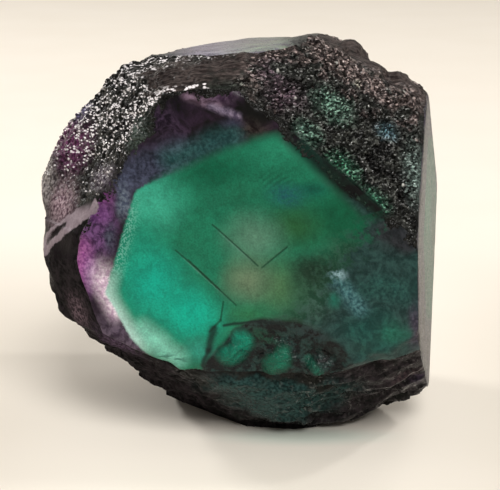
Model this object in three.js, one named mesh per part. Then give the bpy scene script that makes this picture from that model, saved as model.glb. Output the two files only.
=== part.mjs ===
// A fluorite crystal: one natural piece, a cube whose corners are cut by large octahedral faces.
// The cube faces grew smooth and glassy, the octahedral faces are etched and pebbled, and the foot is broken.
// Sizes are in millimetres and angles in degrees. +Z is up, and the glassy front face looks towards -Y.

import * as THREE from "three";
import { mergeVertices } from "three/addons/utils/BufferGeometryUtils.js";

// The longest edge of the mesh on a flat face, on a rough one, and inside the bite.
const FLAT_EDGE = 7;
const ROUGH_EDGE = 1.25;
const BITE_EDGE = 0.95;

// Etched faces: broad swells, and small cube corners that stand out of them. Worn faces: low swells alone.
const SWELL_SIZE = 3.4;
const SWELL_HEIGHT = 0.26;
const WORN_SWELL_HEIGHT = 0.1;
const CORNER_SPACING = 2.1;
const CORNER_HEIGHT = 0.18;
const CORNER_SLOPE = 0.34;

// Broken faces: ledges that rise slowly and drop at once, and flat chips that lie at all angles.
const LEDGE_SPACING = 3.4;
const LEDGE_HEIGHT = 0.5;
const LEDGE_WANDER = 0.6;
const LEDGE_WAY = new THREE.Vector3(-0.4, 0, 0.9).normalize();
const CHIP_SPACING = 2.6;
const CHIP_SLOPE = 0.3;

// Where two rough faces meet, the edge is worn back. Beside a smooth face, the relief is lower.
const WORN_DEPTH = 0.22;
const WORN_WIDTH = 1.1;
const CALM_WIDTH = 1.6;
const CALM_SHARE = 0.3;

// The shell-shaped bite out of the foot of the front face, and the domes left standing in it.
const BITE = { centre: [2.9, -12.6, -9.4], radius: 6.3, rim: 1.6, depth: 1.5 };
const HACKLE_SIZE = 1.6;
const HACKLE_HEIGHT = 0.28;
const DOMES = [
  { centre: [-1.1, -11.8, -5.8], radius: 2.1, rise: 0.8 },
  { centre: [2.9, -12.4, -6.8], radius: 2.3, rise: 1.0 },
  { centre: [5.7, -12.9, -7.4], radius: 1.6, rise: 0.8 },
];

// Single lumps and hollows on the rough faces. The first four are the knob, peak, dip and shoulder of the
// upper right edge.
const LUMPS = [
  { centre: [5.6, -3.4, 15.6], radius: 4.2, rise: 0.45 },
  { centre: [9.0, 1.6, 15.2], radius: 1.9, rise: 0.25 },
  { centre: [11.0, 1.5, 14.1], radius: 2.6, rise: -0.9 },
  { centre: [14.2, -0.6, 11.8], radius: 3.0, rise: 0.3 },
  { centre: [-13.2, -1.8, 8.6], radius: 4.5, rise: 0.65 },
  { centre: [11.0, -9.4, -9.9], radius: 2.8, rise: 0.55 },
  { centre: [3.0, -8.2, -12.2], radius: 3.4, rise: 0.5 },
  { centre: [-4.5, 13.2, 5.5], radius: 3.6, rise: 0.6 },
  { centre: [8.5, 8.6, 9.8], radius: 3.8, rise: -0.7 },
  { centre: [-12.5, 2.0, -3.5], radius: 3.2, rise: -0.6 },
];

// One number for each kind of relief, so that no two are alike.
const SEED = { swell: 1, corner: 2, ledge: 5, chip: 6, hackle: 8 };

// Each face: the way it looks, its distance from the crystal's centre, and how its surface is left.
// Azimuth 0 looks at -Y and 90 at +X, and elevation is above the horizon. A worn-down break has less relief.
const FACES = [
  { name: "front cube face", azimuth: -9, elevation: 3.5, distance: 11.4, surface: "smooth" },
  { name: "right cube face", azimuth: 79.5, elevation: 2.5, distance: 15.0, surface: "smooth" },
  { name: "top cube face", azimuth: -139, elevation: 82, distance: 14.95, surface: "worn" },
  { name: "back cube face", azimuth: 172, elevation: -2, distance: 12.5, surface: "smooth" },
  { name: "foot, a cleavage", azimuth: 0, elevation: -90, distance: 14.6, surface: "smooth" },
  { name: "small left bevel", azimuth: -57, elevation: 14, distance: 15.15, surface: "smooth" },
  { name: "left chip", azimuth: -52.9, elevation: -11.5, distance: 15.16, surface: "smooth" },
  { name: "upper left octahedral", azimuth: -57, elevation: 25, distance: 14.75, surface: "etched" },
  { name: "upper right octahedral", azimuth: 37, elevation: 43, distance: 15.5, surface: "etched" },
  { name: "left cube face", azimuth: -93, elevation: -8, distance: 14.55, surface: "etched" },
  { name: "left shoulder", azimuth: -104, elevation: 17, distance: 15.4, surface: "etched" },
  { name: "back left octahedral", azimuth: -117, elevation: 37, distance: 14.0, surface: "etched" },
  { name: "back right octahedral", azimuth: 125, elevation: 38, distance: 16.6, surface: "etched" },
  { name: "back lower left", azimuth: -140, elevation: -30, distance: 14.5, surface: "etched" },
  { name: "back lower right", azimuth: 120, elevation: -32, distance: 15.8, surface: "etched" },
  { name: "left crest", azimuth: -75, elevation: 72, distance: 15.95, surface: "etched" },
  { name: "knob slope", azimuth: 110, elevation: 79, distance: 16.35, surface: "broken", relief: 0.3 },
  { name: "ridge under the top", azimuth: -17, elevation: 64, distance: 16.7, surface: "broken", relief: 0.35 },
  { name: "notch by the peak", azimuth: 66, elevation: 57, distance: 16.9, surface: "broken", relief: 0.45 },
  { name: "lower left break", azimuth: -46, elevation: -50, distance: 13.3, surface: "broken", relief: 0.75 },
  { name: "left underside", azimuth: -92, elevation: -34, distance: 13.5, surface: "broken", relief: 0.8 },
  { name: "lower front break", azimuth: -9, elevation: -46, distance: 14.0, surface: "broken", relief: 0.45 },
  { name: "lifted underside", azimuth: 90, elevation: -84, distance: 15.15, surface: "broken", relief: 0.6 },
  { name: "lower right break", azimuth: 24, elevation: -47, distance: 15.5, surface: "broken" },
];

function outwardFrom({ azimuth, elevation }) {
  const a = THREE.MathUtils.degToRad(azimuth);
  const e = THREE.MathUtils.degToRad(elevation);
  return new THREE.Vector3(Math.sin(a) * Math.cos(e), -Math.cos(a) * Math.cos(e), Math.sin(e));
}

for (const face of FACES) {
  face.normal = outwardFrom(face);
}

const [FRONT, RIGHT, TOP] = FACES;
const CUBE_AXES = [FRONT.normal, RIGHT.normal, TOP.normal];
const SMOOTH_FACES = FACES.filter((face) => face.surface === "smooth");

// The flat-faced crystal

// Two lengths nearer than this are the same length.
const SAME = 1e-6;

const depthUnder = (face, p) => face.distance - face.normal.dot(p);
const facesThrough = (p) => FACES.filter((face) => Math.abs(depthUnder(face, p)) < SAME);

// The point where three faces' planes meet, or nothing where they run alongside each other.
function meetingPoint(a, b, c) {
  const across = b.normal.clone().cross(c.normal);
  const volume = a.normal.dot(across);
  if (Math.abs(volume) < SAME) return null;
  return across
    .multiplyScalar(a.distance)
    .addScaledVector(c.normal.clone().cross(a.normal), b.distance)
    .addScaledVector(a.normal.clone().cross(b.normal), c.distance)
    .divideScalar(volume);
}

// The corners of the crystal: the meeting points that lie inside every other face, each taken once.
function crystalCorners() {
  const corners = [];
  const isNew = (p) => corners.every((corner) => corner.distanceTo(p) > SAME);
  for (let i = 0; i < FACES.length; i++) {
    for (let j = i + 1; j < FACES.length; j++) {
      for (let k = j + 1; k < FACES.length; k++) {
        const p = meetingPoint(FACES[i], FACES[j], FACES[k]);
        if (p && FACES.every((face) => depthUnder(face, p) > -SAME) && isNew(p)) corners.push(p);
      }
    }
  }
  return corners;
}

// A fan of triangles over one face, with its corners anticlockwise seen from outside.
function fanOver(face, corners) {
  const ring = corners.filter((p) => Math.abs(depthUnder(face, p)) < SAME);
  const middle = new THREE.Vector3();
  for (const p of ring) middle.addScaledVector(p, 1 / ring.length);
  const across = ring[0].clone().sub(middle).normalize();
  const up = face.normal.clone().cross(across);
  const turnOf = (p) => Math.atan2(p.clone().sub(middle).dot(up), p.clone().sub(middle).dot(across));
  ring.sort((p, q) => turnOf(p) - turnOf(q));
  return ring.map((p, i) => [middle, p, ring[(i + 1) % ring.length]]);
}

// Splitting the faces into small triangles

const biteCentre = new THREE.Vector3(...BITE.centre);

// How far out in the bite a point is, seen from the front: 0 at its centre and 1 at its rim.
function biteReach(p) {
  const away = p.clone().sub(biteCentre);
  away.addScaledVector(FRONT.normal, -away.dot(FRONT.normal));
  return away.length() / BITE.radius;
}

// The longest edge allowed with its middle at a point. It grows slowly away from the bite.
// The two faces that share an edge have its middle in common, so they split it alike.
function longestEdgeAt(middle) {
  const rough = facesThrough(middle).some((face) => face.surface !== "smooth");
  const fromRim = Math.max(0, biteReach(middle) - 1) * BITE.radius;
  const fromBite = fromRim + Math.max(0, depthUnder(FRONT, middle) - BITE.depth);
  return Math.min(rough ? ROUGH_EDGE : FLAT_EDGE, BITE_EDGE + fromBite / 2);
}

// Halves the longest edge that is too long, until none is.
function split(triangle, pieces) {
  let widest = -1;
  let length = 0;
  for (let i = 0; i < 3; i++) {
    const p = triangle[i];
    const q = triangle[(i + 1) % 3];
    const here = p.distanceTo(q);
    const middle = p.clone().add(q).multiplyScalar(0.5);
    if (here > length && here > longestEdgeAt(middle)) {
      widest = i;
      length = here;
    }
  }
  if (widest < 0) {
    pieces.push(triangle);
    return;
  }
  const p = triangle[widest];
  const q = triangle[(widest + 1) % 3];
  const r = triangle[(widest + 2) % 3];
  const middle = p.clone().add(q).multiplyScalar(0.5);
  split([p, middle, r], pieces);
  split([middle, q, r], pieces);
}

// Relief

const fractionOf = (x) => x - Math.floor(x);
const ease = (t) => t * t * (3 - 2 * t);

// A number from 0 to 1 for each point of a lattice, the same one every time.
function chance(i, j, k, seed) {
  const mixed = i * 12.9898 + j * 78.233 + k * 37.719 + seed * 4.1414;
  return fractionOf(Math.sin(mixed) * 4375.8545);
}

// Smooth noise from -1 to 1, with lumps of about one size.
function noise(p, size, seed) {
  const at = [p.x / size, p.y / size, p.z / size];
  const [i, j, k] = at.map(Math.floor);
  const [u, v, w] = at.map((x) => ease(fractionOf(x)));
  let sum = 0;
  for (const a of [0, 1]) {
    for (const b of [0, 1]) {
      for (const c of [0, 1]) {
        const share = (a ? u : 1 - u) * (b ? v : 1 - v) * (c ? w : 1 - w);
        sum += share * chance(i + a, j + b, k + c, seed);
      }
    }
  }
  return 2 * sum - 1;
}

// Scattered seeds, one in each cell of a lattice: the way to a point from the nearest one, and its cell.
function fromNearestSeed(p, spacing, seed) {
  const cell = [p.x, p.y, p.z].map((x) => Math.floor(x / spacing));
  let nearest = { away: new THREE.Vector3(Infinity, 0, 0) };
  for (let i = cell[0] - 1; i <= cell[0] + 1; i++) {
    for (let j = cell[1] - 1; j <= cell[1] + 1; j++) {
      for (let k = cell[2] - 1; k <= cell[2] + 1; k++) {
        const jitter = [0, 1, 2].map((axis) => chance(i, j, k, seed + axis));
        const at = new THREE.Vector3(i + jitter[0], j + jitter[1], k + jitter[2]).multiplyScalar(spacing);
        const away = p.clone().sub(at);
        if (away.lengthSq() < nearest.away.lengthSq()) nearest = { away, jitter };
      }
    }
  }
  return nearest;
}

// The height of an etched face: each small corner has three flat sides, which lie along the cube faces.
function etchedHeight(p, face) {
  const { away } = fromNearestSeed(p, CORNER_SPACING, SEED.corner);
  away.addScaledVector(face.normal, -away.dot(face.normal));
  const fall = Math.max(...CUBE_AXES.map((axis) => Math.sign(axis.dot(face.normal)) * axis.dot(away)));
  return SWELL_HEIGHT * noise(p, SWELL_SIZE, SEED.swell) + CORNER_HEIGHT - CORNER_SLOPE * fall;
}

// The height of a broken face. The ledges climb to the right, and each chip is flat and tilted its own way.
function brokenHeight(p, face) {
  const climb = p.dot(LEDGE_WAY) / LEDGE_SPACING + LEDGE_WANDER * noise(p, SWELL_SIZE, SEED.ledge);
  const { away, jitter } = fromNearestSeed(p, CHIP_SPACING, SEED.chip);
  away.addScaledVector(face.normal, -away.dot(face.normal));
  const tilt = new THREE.Vector3(...jitter).subScalar(0.5).normalize();
  const height = LEDGE_HEIGHT * (fractionOf(climb) - 0.5) + CHIP_SLOPE * tilt.dot(away);
  return (face.relief ?? 1) * height;
}

const wornHeight = (p) => WORN_SWELL_HEIGHT * noise(p, SWELL_SIZE, SEED.swell);

const HEIGHT = { etched: etchedHeight, broken: brokenHeight, worn: wornHeight };

// The share of the relief that is left beside a smooth face.
function calm(p) {
  const nearest = Math.min(...SMOOTH_FACES.map((face) => depthUnder(face, p)));
  return CALM_SHARE + (1 - CALM_SHARE) * Math.min(1, nearest / CALM_WIDTH);
}

// A dome 1 high at its centre, which fades out at its radius.
function dome(p, { centre, radius }) {
  const reach = Math.min(1, p.distanceTo(new THREE.Vector3(...centre)) / radius);
  return (1 - reach * reach) ** 2;
}

// How far a rough face is worn back at a point, by the distance to the nearest other rough face.
function wear(p, face) {
  const others = FACES.filter((other) => other !== face && other.surface !== "smooth");
  const nearest = Math.min(...others.map((other) => depthUnder(other, p)));
  return WORN_DEPTH * Math.exp(-((nearest / WORN_WIDTH) ** 2));
}

// How deep the bite goes under the front face, with the domes and small hackles standing in it.
function biteDepth(p) {
  const reach = Math.min(1, biteReach(p));
  const insideRim = Math.min(1, ((1 - reach) * BITE.radius) / BITE.rim);
  let standing = HACKLE_HEIGHT * noise(p, HACKLE_SIZE, SEED.hackle);
  for (const each of DOMES) standing += each.rise * dome(p, each);
  return BITE.depth * (1 - reach * reach) - insideRim * standing;
}

// Keeps a move in the planes of the smooth faces that it starts on. Each pass takes it nearer to all of them.
function keepInPlanes(move, faces) {
  const passes = 8;
  for (let pass = 0; pass < passes; pass++) {
    for (const face of faces) move.addScaledVector(face.normal, -move.dot(face.normal));
  }
}

// Where a point of the flat-faced crystal ends up. Nothing stands out of a smooth face.
function carve(p) {
  const through = facesThrough(p);
  const rough = through.filter((face) => face.surface !== "smooth");
  const out = new THREE.Vector3();
  let height = 0;
  for (const face of rough) {
    out.add(face.normal);
    height += (calm(p) * HEIGHT[face.surface](p, face) - wear(p, face)) / rough.length;
  }
  for (const each of LUMPS) height += each.rise * dome(p, each);
  const move = out.normalize().multiplyScalar(height);
  keepInPlanes(move, through.filter((face) => face.surface === "smooth"));
  const moved = p.clone().add(move);
  for (const face of SMOOTH_FACES) moved.addScaledVector(face.normal, Math.min(0, depthUnder(face, moved)));
  const missing = biteDepth(p) - depthUnder(FRONT, moved);
  if (biteReach(p) < 1 && missing > 0) moved.addScaledVector(FRONT.normal, -missing);
  return moved;
}

// The crystal

function crystalGeometry() {
  const corners = crystalCorners();
  const triangles = [];
  for (const face of FACES) {
    for (const triangle of fanOver(face, corners)) split(triangle, triangles);
  }
  const places = triangles.flat().map(carve);
  const separate = new THREE.BufferGeometry().setFromPoints(places);
  const closed = mergeVertices(separate);
  // The origin is at the middle of the crystal's box, on the surface that it stands on.
  closed.computeBoundingBox();
  const middle = closed.boundingBox.getCenter(new THREE.Vector3());
  closed.translate(-middle.x, -middle.y, -closed.boundingBox.min.z);
  closed.computeVertexNormals();
  return closed;
}

const fluorite = new THREE.MeshStandardMaterial({ color: 0x2b6f5c, roughness: 0.3, metalness: 0 });

const crystal = new THREE.Mesh(crystalGeometry(), fluorite);
crystal.name = "fluorite_crystal";

const part = new THREE.Group();
part.add(crystal);

export default part;
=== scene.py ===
import itertools
import math

import bpy
import numpy as np
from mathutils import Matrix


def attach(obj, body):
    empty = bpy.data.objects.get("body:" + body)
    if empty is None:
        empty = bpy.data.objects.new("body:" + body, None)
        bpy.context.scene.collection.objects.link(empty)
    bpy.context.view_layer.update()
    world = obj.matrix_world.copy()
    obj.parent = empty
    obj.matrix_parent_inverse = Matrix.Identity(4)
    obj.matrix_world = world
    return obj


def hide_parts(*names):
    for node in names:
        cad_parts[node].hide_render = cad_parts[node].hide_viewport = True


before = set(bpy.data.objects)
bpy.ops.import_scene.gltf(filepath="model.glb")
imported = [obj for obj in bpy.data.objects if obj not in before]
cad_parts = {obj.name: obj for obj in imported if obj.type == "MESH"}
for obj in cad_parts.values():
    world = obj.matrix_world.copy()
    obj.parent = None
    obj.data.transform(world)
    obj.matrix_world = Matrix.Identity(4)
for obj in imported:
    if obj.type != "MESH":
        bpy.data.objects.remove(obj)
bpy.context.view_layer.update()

# The crystal's body
# One loose fluorite crystal: a cube with large octahedral faces cut across its corners, and a broken foot.
# It grew as one piece. Its flat faces are cut first and split finely, and then carved into their relief.

MM = 0.001
# The crystal's centre in the frame. Every place on the crystal is in millimetres from here.
CENTRE = np.array([-0.862, -0.153, 14.6])

# The longest edge of the mesh: inside flat faces, round the bite, on the crust above the front face, on the
# other faces seen well from the front, and on the rest. A flat face has its own only at its rim.
FLAT_EDGE = 3.0
BITE_EDGE = 0.21
CRUST_EDGE = 0.18
SHOWN_EDGE = 0.24
HIDDEN_EDGE = 0.44

# Each face: the way it looks, its distance from the centre, how its surface is left, the share of the relief,
# the kind of fine grain on it, and its longest edge. Azimuth 0 looks at -Y and 90 at +X, and elevation is
# above the horizon.
FACES = [
    ("front cube face", -9, 3.5, 11.4, "smooth", 0, "glassy", SHOWN_EDGE),
    ("right cube face", 79.5, 2.5, 15.0, "smooth", 0, "glassy", HIDDEN_EDGE),
    ("top cube face", -139, 82, 14.95, "worn", 1, "glassy", HIDDEN_EDGE),
    ("back cube face", 172, -2, 12.5, "smooth", 0, "glassy", HIDDEN_EDGE),
    ("foot, a cleavage", 0, -90, 14.6, "smooth", 0, "glassy", HIDDEN_EDGE),
    ("small left bevel", -57, 14, 15.3, "smooth", 0, "glassy", SHOWN_EDGE),
    ("left chip", -52.9, -11.5, 15.16, "smooth", 0, "glassy", SHOWN_EDGE),
    ("upper left octahedral", -57, 25, 14.75, "etched", 1, "pebbled", CRUST_EDGE),
    ("upper right octahedral", 37, 43, 15.5, "etched", 1, "cornered", CRUST_EDGE),
    ("left cube face", -93, -8, 14.55, "etched", 1, "pebbled", HIDDEN_EDGE),
    ("left shoulder", -104, 17, 15.4, "etched", 1, "pebbled", HIDDEN_EDGE),
    ("back left octahedral", -117, 37, 14.0, "etched", 1, "cornered", HIDDEN_EDGE),
    ("back right octahedral", 125, 38, 16.6, "etched", 1, "cornered", HIDDEN_EDGE),
    ("back lower left", -140, -30, 14.5, "etched", 1, "pebbled", HIDDEN_EDGE),
    ("back lower right", 120, -32, 15.8, "etched", 1, "cornered", HIDDEN_EDGE),
    ("left crest", -75, 72, 15.95, "etched", 1, "pebbled", SHOWN_EDGE),
    ("knob slope", 110, 79, 16.35, "broken", 0.3, "striated", SHOWN_EDGE),
    ("ridge under the top", -17, 64, 16.7, "broken", 0.35, "striated", CRUST_EDGE),
    ("notch by the peak", 66, 57, 16.9, "broken", 0.45, "striated", SHOWN_EDGE),
    ("lower left break", -46, -50, 13.3, "broken", 0.75, "crenulated", SHOWN_EDGE),
    ("left underside", -92, -34, 13.5, "broken", 0.8, "crenulated", HIDDEN_EDGE),
    ("lower front break", -9, -46, 14.0, "broken", 0.45, "shelly", SHOWN_EDGE),
    ("lifted underside", 90, -84, 15.15, "broken", 0.6, "crenulated", HIDDEN_EDGE),
    ("lower right break", 24, -47, 15.5, "broken", 1, "ledged", SHOWN_EDGE),
]
FACE = {row[0]: place for place, row in enumerate(FACES)}


def outward(azimuth, elevation):
    """The way that a face looks."""
    a, e = math.radians(azimuth), math.radians(elevation)
    return np.array([math.sin(a) * math.cos(e), -math.cos(a) * math.cos(e), math.sin(e)])


NORMALS = np.array([outward(row[1], row[2]) for row in FACES])
DISTANCES = np.array([float(row[3]) for row in FACES])
SURFACES = np.array([row[4] for row in FACES])
RELIEF = np.array([float(row[5]) for row in FACES])
GRAIN = np.array([row[6] for row in FACES])
EDGES = np.array([row[7] for row in FACES])
FRONT = NORMALS[0]
CUBE_AXES = NORMALS[:3]
SMOOTH = np.flatnonzero(SURFACES == "smooth")
ROUGH = np.flatnonzero(SURFACES != "smooth")
# Two lengths nearer than this are the same length.
SAME = 1e-6

# One number for each kind of unevenness, so that no two are alike.
SEED = {"swell": 1, "corner": 2, "ledge": 5, "chip": 6, "hackle": 8}
SEED |= {"wear": 21, "creep": 31, "fray": 32, "wander": 33}

# Etched faces: broad swells, and small cube corners that stand out of them. Worn faces: low swells alone.
SWELL_SIZE, SWELL_HEIGHT, WORN_SWELL_HEIGHT = 3.4, 0.26, 0.1
CORNER_SPACING, CORNER_HEIGHT, CORNER_SLOPE = 2.1, 0.1, 0.3

# Broken faces: ledges that climb slowly and drop at once, and flat chips that lie at all angles.
LEDGE_SPACING, LEDGE_HEIGHT, LEDGE_WANDER, LEDGE_DROP = 3.4, 0.5, 0.6, 0.22
LEDGE_WAY = np.array([-0.4, 0, 0.9]) / math.hypot(0.4, 0.9)
CHIP_SPACING, CHIP_SLOPE, CHIP_SOFTNESS = 2.6, 0.3, 14.0

# Where two rough faces meet, the edge is worn back. Beside a smooth face, the relief is lower.
WORN_DEPTH, WORN_WIDTH = 0.22, 1.1
CALM_WIDTH, CALM_SHARE = 1.6, 0.3

# The shell-shaped bite out of the foot of the front face, with the domes and small hackles left in it.
BITE_CENTRE, BITE_RADIUS, BITE_RIM, BITE_DEPTH = np.array([2.9, -12.6, -9.4]), 6.3, 1.6, 1.5
HACKLE_SIZE, HACKLE_HEIGHT = 1.6, 0.28
DOMES = [((-1.1, -11.8, -5.8), 2.1, 0.8), ((2.9, -12.4, -6.8), 2.3, 1.0), ((5.7, -12.9, -7.4), 1.6, 0.8)]

# Single lumps and hollows of the rough faces: centre, radius and rise. The first four are the knob, peak, dip
# and shoulder of the upper right edge.
LUMPS = [
    ((5.6, -3.4, 15.6), 4.2, 0.65), ((9.2, 1.5, 14.9), 2.0, 0.75), ((11.0, 1.5, 14.1), 2.6, -0.8),
    ((14.2, -0.6, 11.8), 3.0, 0.3), ((-13.2, -1.8, 8.6), 4.5, 0.65), ((11.0, -9.4, -9.9), 2.8, 0.55),
    ((3.0, -8.2, -12.2), 3.4, 0.5), ((-4.5, 13.2, 5.5), 3.6, 0.6), ((8.5, 8.6, 9.8), 3.8, -0.7),
    ((-12.5, 2.0, -3.5), 3.2, -0.6), ((-15.2, -2.0, 4.4), 3.6, 0.5), ((-14.4, -2.6, -4.6), 3.6, 0.5),
    ((6.8, 5.0, 14.8), 3.6, 0.45), ((-8.6, -1.6, 13.6), 1.6, 0.4), ((-13.4, -4.8, -4.4), 3.0, 0.7),
    ((-15.0, -4.0, -0.6), 3.4, 0.5), ((7.4, -6.2, -13.6), 3.4, 0.75), ((12.2, -3.6, -13.4), 2.6, -0.35),
]

# Three hairline cleavage cracks in the front face, each from one end to the other, then their half width and
# their depth, and the longest edge of the mesh in them.
CRACKS = [((-4.7, -10.7, 1.5), (-0.3, -11.7, -2.4)), ((-2.0, -11.0, 3.5), (1.3, -11.7, 0.6)),
          ((1.6, -11.8, 0.5), (3.4, -12.0, 2.1))]
CRACK_WIDTH, CRACK_DEPTH, CRACK_EDGE = 0.11, 0.09, 0.1

# A lens-shaped hollow in the small left bevel, its half width and its depth.
LENS_HOLLOW = ((-14.8, -5.6, 0.75), (-13.2, -7.2, 2.5))
LENS_WIDTH, LENS_DEPTH = 0.34, 0.24

# A pale smooth band from the small left bevel up to the corner of the front face, and its half width.
PALE_BAND = ((-15.5, -5.0, 0.0), (-11.1, -9.3, 4.5))
PALE_BAND_WIDTH = 0.72

# A dark smooth wedge between the front face and the upper right crust, and its half width.
DARK_WEDGE = ((4.0, -12.0, 10.0), (9.7, -13.0, 5.3))
DARK_WEDGE_WIDTH = 0.3

# Places on the front face are millimetres across and up from its middle.
ACROSS_FRONT = (math.cos(math.radians(-9)), math.sin(math.radians(-9)), 0.0)
UP_FRONT = tuple(np.cross(ACROSS_FRONT, FRONT) * -1)
# The smooth front runs on over the lower right break as far as a line, which climbs from here to the right.
# The relief of the break is whole from a little below that line down, and gone a millimetre higher.
WINDOW_FOOT, WINDOW_FOOT_CLIMB, BREAK_WHOLE_BELOW = (9.9, -7.9), 0.34, 0.3

# Every edge is worn round: how far in from it the wear starts, and how much is gone. Wear is wider where the
# front face runs into the foot, and on the edges between rough faces.
ROUND_WIDTH, ROUND_DEPTH = 0.8, 0.13
FOOT_ROUND_WIDTH, FOOT_ROUND_DEPTH = 2.2, 0.6
ROUGH_ROUND_WIDTH, ROUGH_ROUND_DEPTH = 1.8, 0.1
# The wear is uneven: its share where it is even, how much that varies, and over what length.
WEAR_SHARE, WEAR_VARIES, WEAR_SIZE = 0.75, 0.5, 1.1


def depths(points):
    """How deep each point lies under the plane of each face."""
    return DISTANCES - points @ NORMALS.T


def crystal_corners():
    """The corners of the flat-faced crystal: where three planes meet inside every other face."""
    corners = []
    for three in itertools.combinations(range(len(FACES)), 3):
        planes = NORMALS[list(three)]
        if abs(np.linalg.det(planes)) < SAME:
            continue
        point = np.linalg.solve(planes, DISTANCES[list(three)])
        is_new = all(np.linalg.norm(point - corner) > SAME for corner in corners)
        if is_new and depths(point).min() > -SAME:
            corners.append(point)
    return np.array(corners)


def fan_over(face, corners):
    """A fan of triangles over one face, anticlockwise seen from outside."""
    ring = corners[np.abs(depths(corners)[:, face]) < SAME]
    middle = ring.mean(0)
    across = ring[0] - middle
    up = np.cross(NORMALS[face], across)
    ring = ring[np.argsort(np.arctan2((ring - middle) @ up, (ring - middle) @ across))]
    return [(middle, ring[i], ring[(i + 1) % len(ring)]) for i in range(len(ring))]


def bite_reach(points):
    """How far out in the bite a point is, seen from the front: 0 at its centre and 1 at its rim."""
    away = points - BITE_CENTRE
    away = away - (away @ FRONT)[:, None] * FRONT
    return np.linalg.norm(away, axis=1) / BITE_RADIUS


def from_segment(points, start, end):
    """The distance from a line between two points, and how far along it the nearest place is."""
    start, along = np.array(start), np.array(end) - np.array(start)
    share = np.clip((points - start) @ along / (along @ along), 0, 1)
    return np.linalg.norm(points - start - share[:, None] * along, axis=1), share


def above_window_foot(points):
    """How far above the line where the smooth front ends on the lower right break. Below it is below 0."""
    across, up = points @ np.array(ACROSS_FRONT), points @ np.array(UP_FRONT)
    return up - WINDOW_FOOT[1] - WINDOW_FOOT_CLIMB * (across - WINDOW_FOOT[0])


def longest_edge_at(middles):
    """The longest edge allowed with its middle at a point. Faces that share an edge split it alike."""
    under = depths(middles)
    second_nearest = np.sort(under, axis=1)[:, 1]
    from_rim = np.maximum(0, second_nearest - ROUND_WIDTH)[:, None] / 2
    each = np.where(SURFACES == "smooth", np.minimum(FLAT_EDGE, EDGES + from_rim), EDGES)
    here = np.where(np.abs(under) < SAME, each, FLAT_EDGE).min(1)
    from_bite = np.maximum(0, bite_reach(middles) - 1) * BITE_RADIUS + np.maximum(0, under[:, 0] - BITE_DEPTH)
    limit = np.minimum(here, BITE_EDGE + from_bite / 2)
    for start, end in CRACKS:
        from_crack = from_segment(middles, start, end)[0]
        limit = np.minimum(limit, CRACK_EDGE + np.maximum(0, from_crack - CRACK_WIDTH) / 2)
    return limit


def split(triangles, faces):
    """Halves the longest edge that is too long of each triangle, until none is."""
    done, done_faces = [], []
    while len(triangles):
        following = np.roll(triangles, -1, axis=1)
        lengths = np.linalg.norm(following - triangles, axis=2)
        limits = longest_edge_at(((triangles + following) / 2).reshape(-1, 3)).reshape(-1, 3)
        too_long = np.where(lengths > limits, lengths, 0)
        ready = too_long.max(1) == 0
        done.append(triangles[ready])
        done_faces.append(faces[ready])
        left, left_faces, widest = triangles[~ready], faces[~ready], too_long[~ready].argmax(1)
        rows = np.arange(len(left))
        p, q, r = (left[rows, (widest + step) % 3] for step in range(3))
        middle = (p + q) / 2
        triangles = np.concatenate([np.stack([p, middle, r], 1), np.stack([middle, q, r], 1)])
        faces = np.concatenate([left_faces, left_faces])
    return np.concatenate(done), np.concatenate(done_faces)


def chance(cells, seed):
    """A number from 0 to 1 for each point of a lattice, the same one every time."""
    mixed = cells @ np.array([12.9898, 78.233, 37.719]) + seed * 4.1414
    return np.modf(np.sin(mixed) * 4375.8545)[0] % 1


def noise(points, size, seed):
    """Smooth noise from -1 to 1, with lumps of about one size."""
    cells = np.floor(points / size)
    inside = points / size - cells
    inside = inside * inside * (3 - 2 * inside)
    total = np.zeros(len(points))
    for corner in itertools.product((0, 1), repeat=3):
        share = np.where(np.array(corner) == 1, inside, 1 - inside).prod(1)
        total += share * chance(cells + np.array(corner), seed)
    return 2 * total - 1


def around(points, spacing, seed):
    """The way to each point from the scattered seeds of the cells round it, and the chances of each cell."""
    cells = np.floor(points / spacing)
    for step in itertools.product((-1, 0, 1), repeat=3):
        cell = cells + np.array(step)
        jitter = np.stack([chance(cell, seed + axis) for axis in range(3)], 1)
        yield points - (cell + jitter) * spacing, jitter


def etched_height(points, face):
    """Broad swells with small cube corners standing out of them, whose sides lie along the cube faces."""
    toward = np.sign(CUBE_AXES @ NORMALS[face])[:, None] * CUBE_AXES
    highest = np.full(len(points), -np.inf)
    for away, _ in around(points, CORNER_SPACING, SEED["corner"]):
        off_face = away @ NORMALS[face]
        fall = ((away - off_face[:, None] * NORMALS[face]) @ toward.T).max(1)
        highest = np.maximum(highest, CORNER_HEIGHT - CORNER_SLOPE * fall - np.abs(off_face) / 2)
    return SWELL_HEIGHT * noise(points, SWELL_SIZE, SEED["swell"]) + np.maximum(highest, -CORNER_HEIGHT)


def broken_height(points, face):
    """Ledges that climb to the right and drop steeply, with chips that lie at all angles and run together."""
    climb = points @ LEDGE_WAY / LEDGE_SPACING + LEDGE_WANDER * noise(points, SWELL_SIZE, SEED["ledge"])
    along = climb % 1
    ledge = np.minimum(along / (1 - LEDGE_DROP), (1 - along) / LEDGE_DROP) - 0.5
    chip, shares = np.zeros(len(points)), np.full(len(points), SAME)
    for away, jitter in around(points, CHIP_SPACING, SEED["chip"]):
        share = np.exp(-CHIP_SOFTNESS * ((away / CHIP_SPACING) ** 2).sum(1))
        tilt = jitter - 0.5
        tilt /= np.linalg.norm(tilt, axis=1)[:, None]
        in_face = away - (away @ NORMALS[face])[:, None] * NORMALS[face]
        chip += share * (tilt * in_face).sum(1)
        shares += share
    return RELIEF[face] * (LEDGE_HEIGHT * ledge + CHIP_SLOPE * chip / shares)


def worn_height(points, face):
    """Low swells alone."""
    return WORN_SWELL_HEIGHT * noise(points, SWELL_SIZE, SEED["swell"])


HEIGHTS = {"etched": etched_height, "broken": broken_height, "worn": worn_height}


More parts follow.
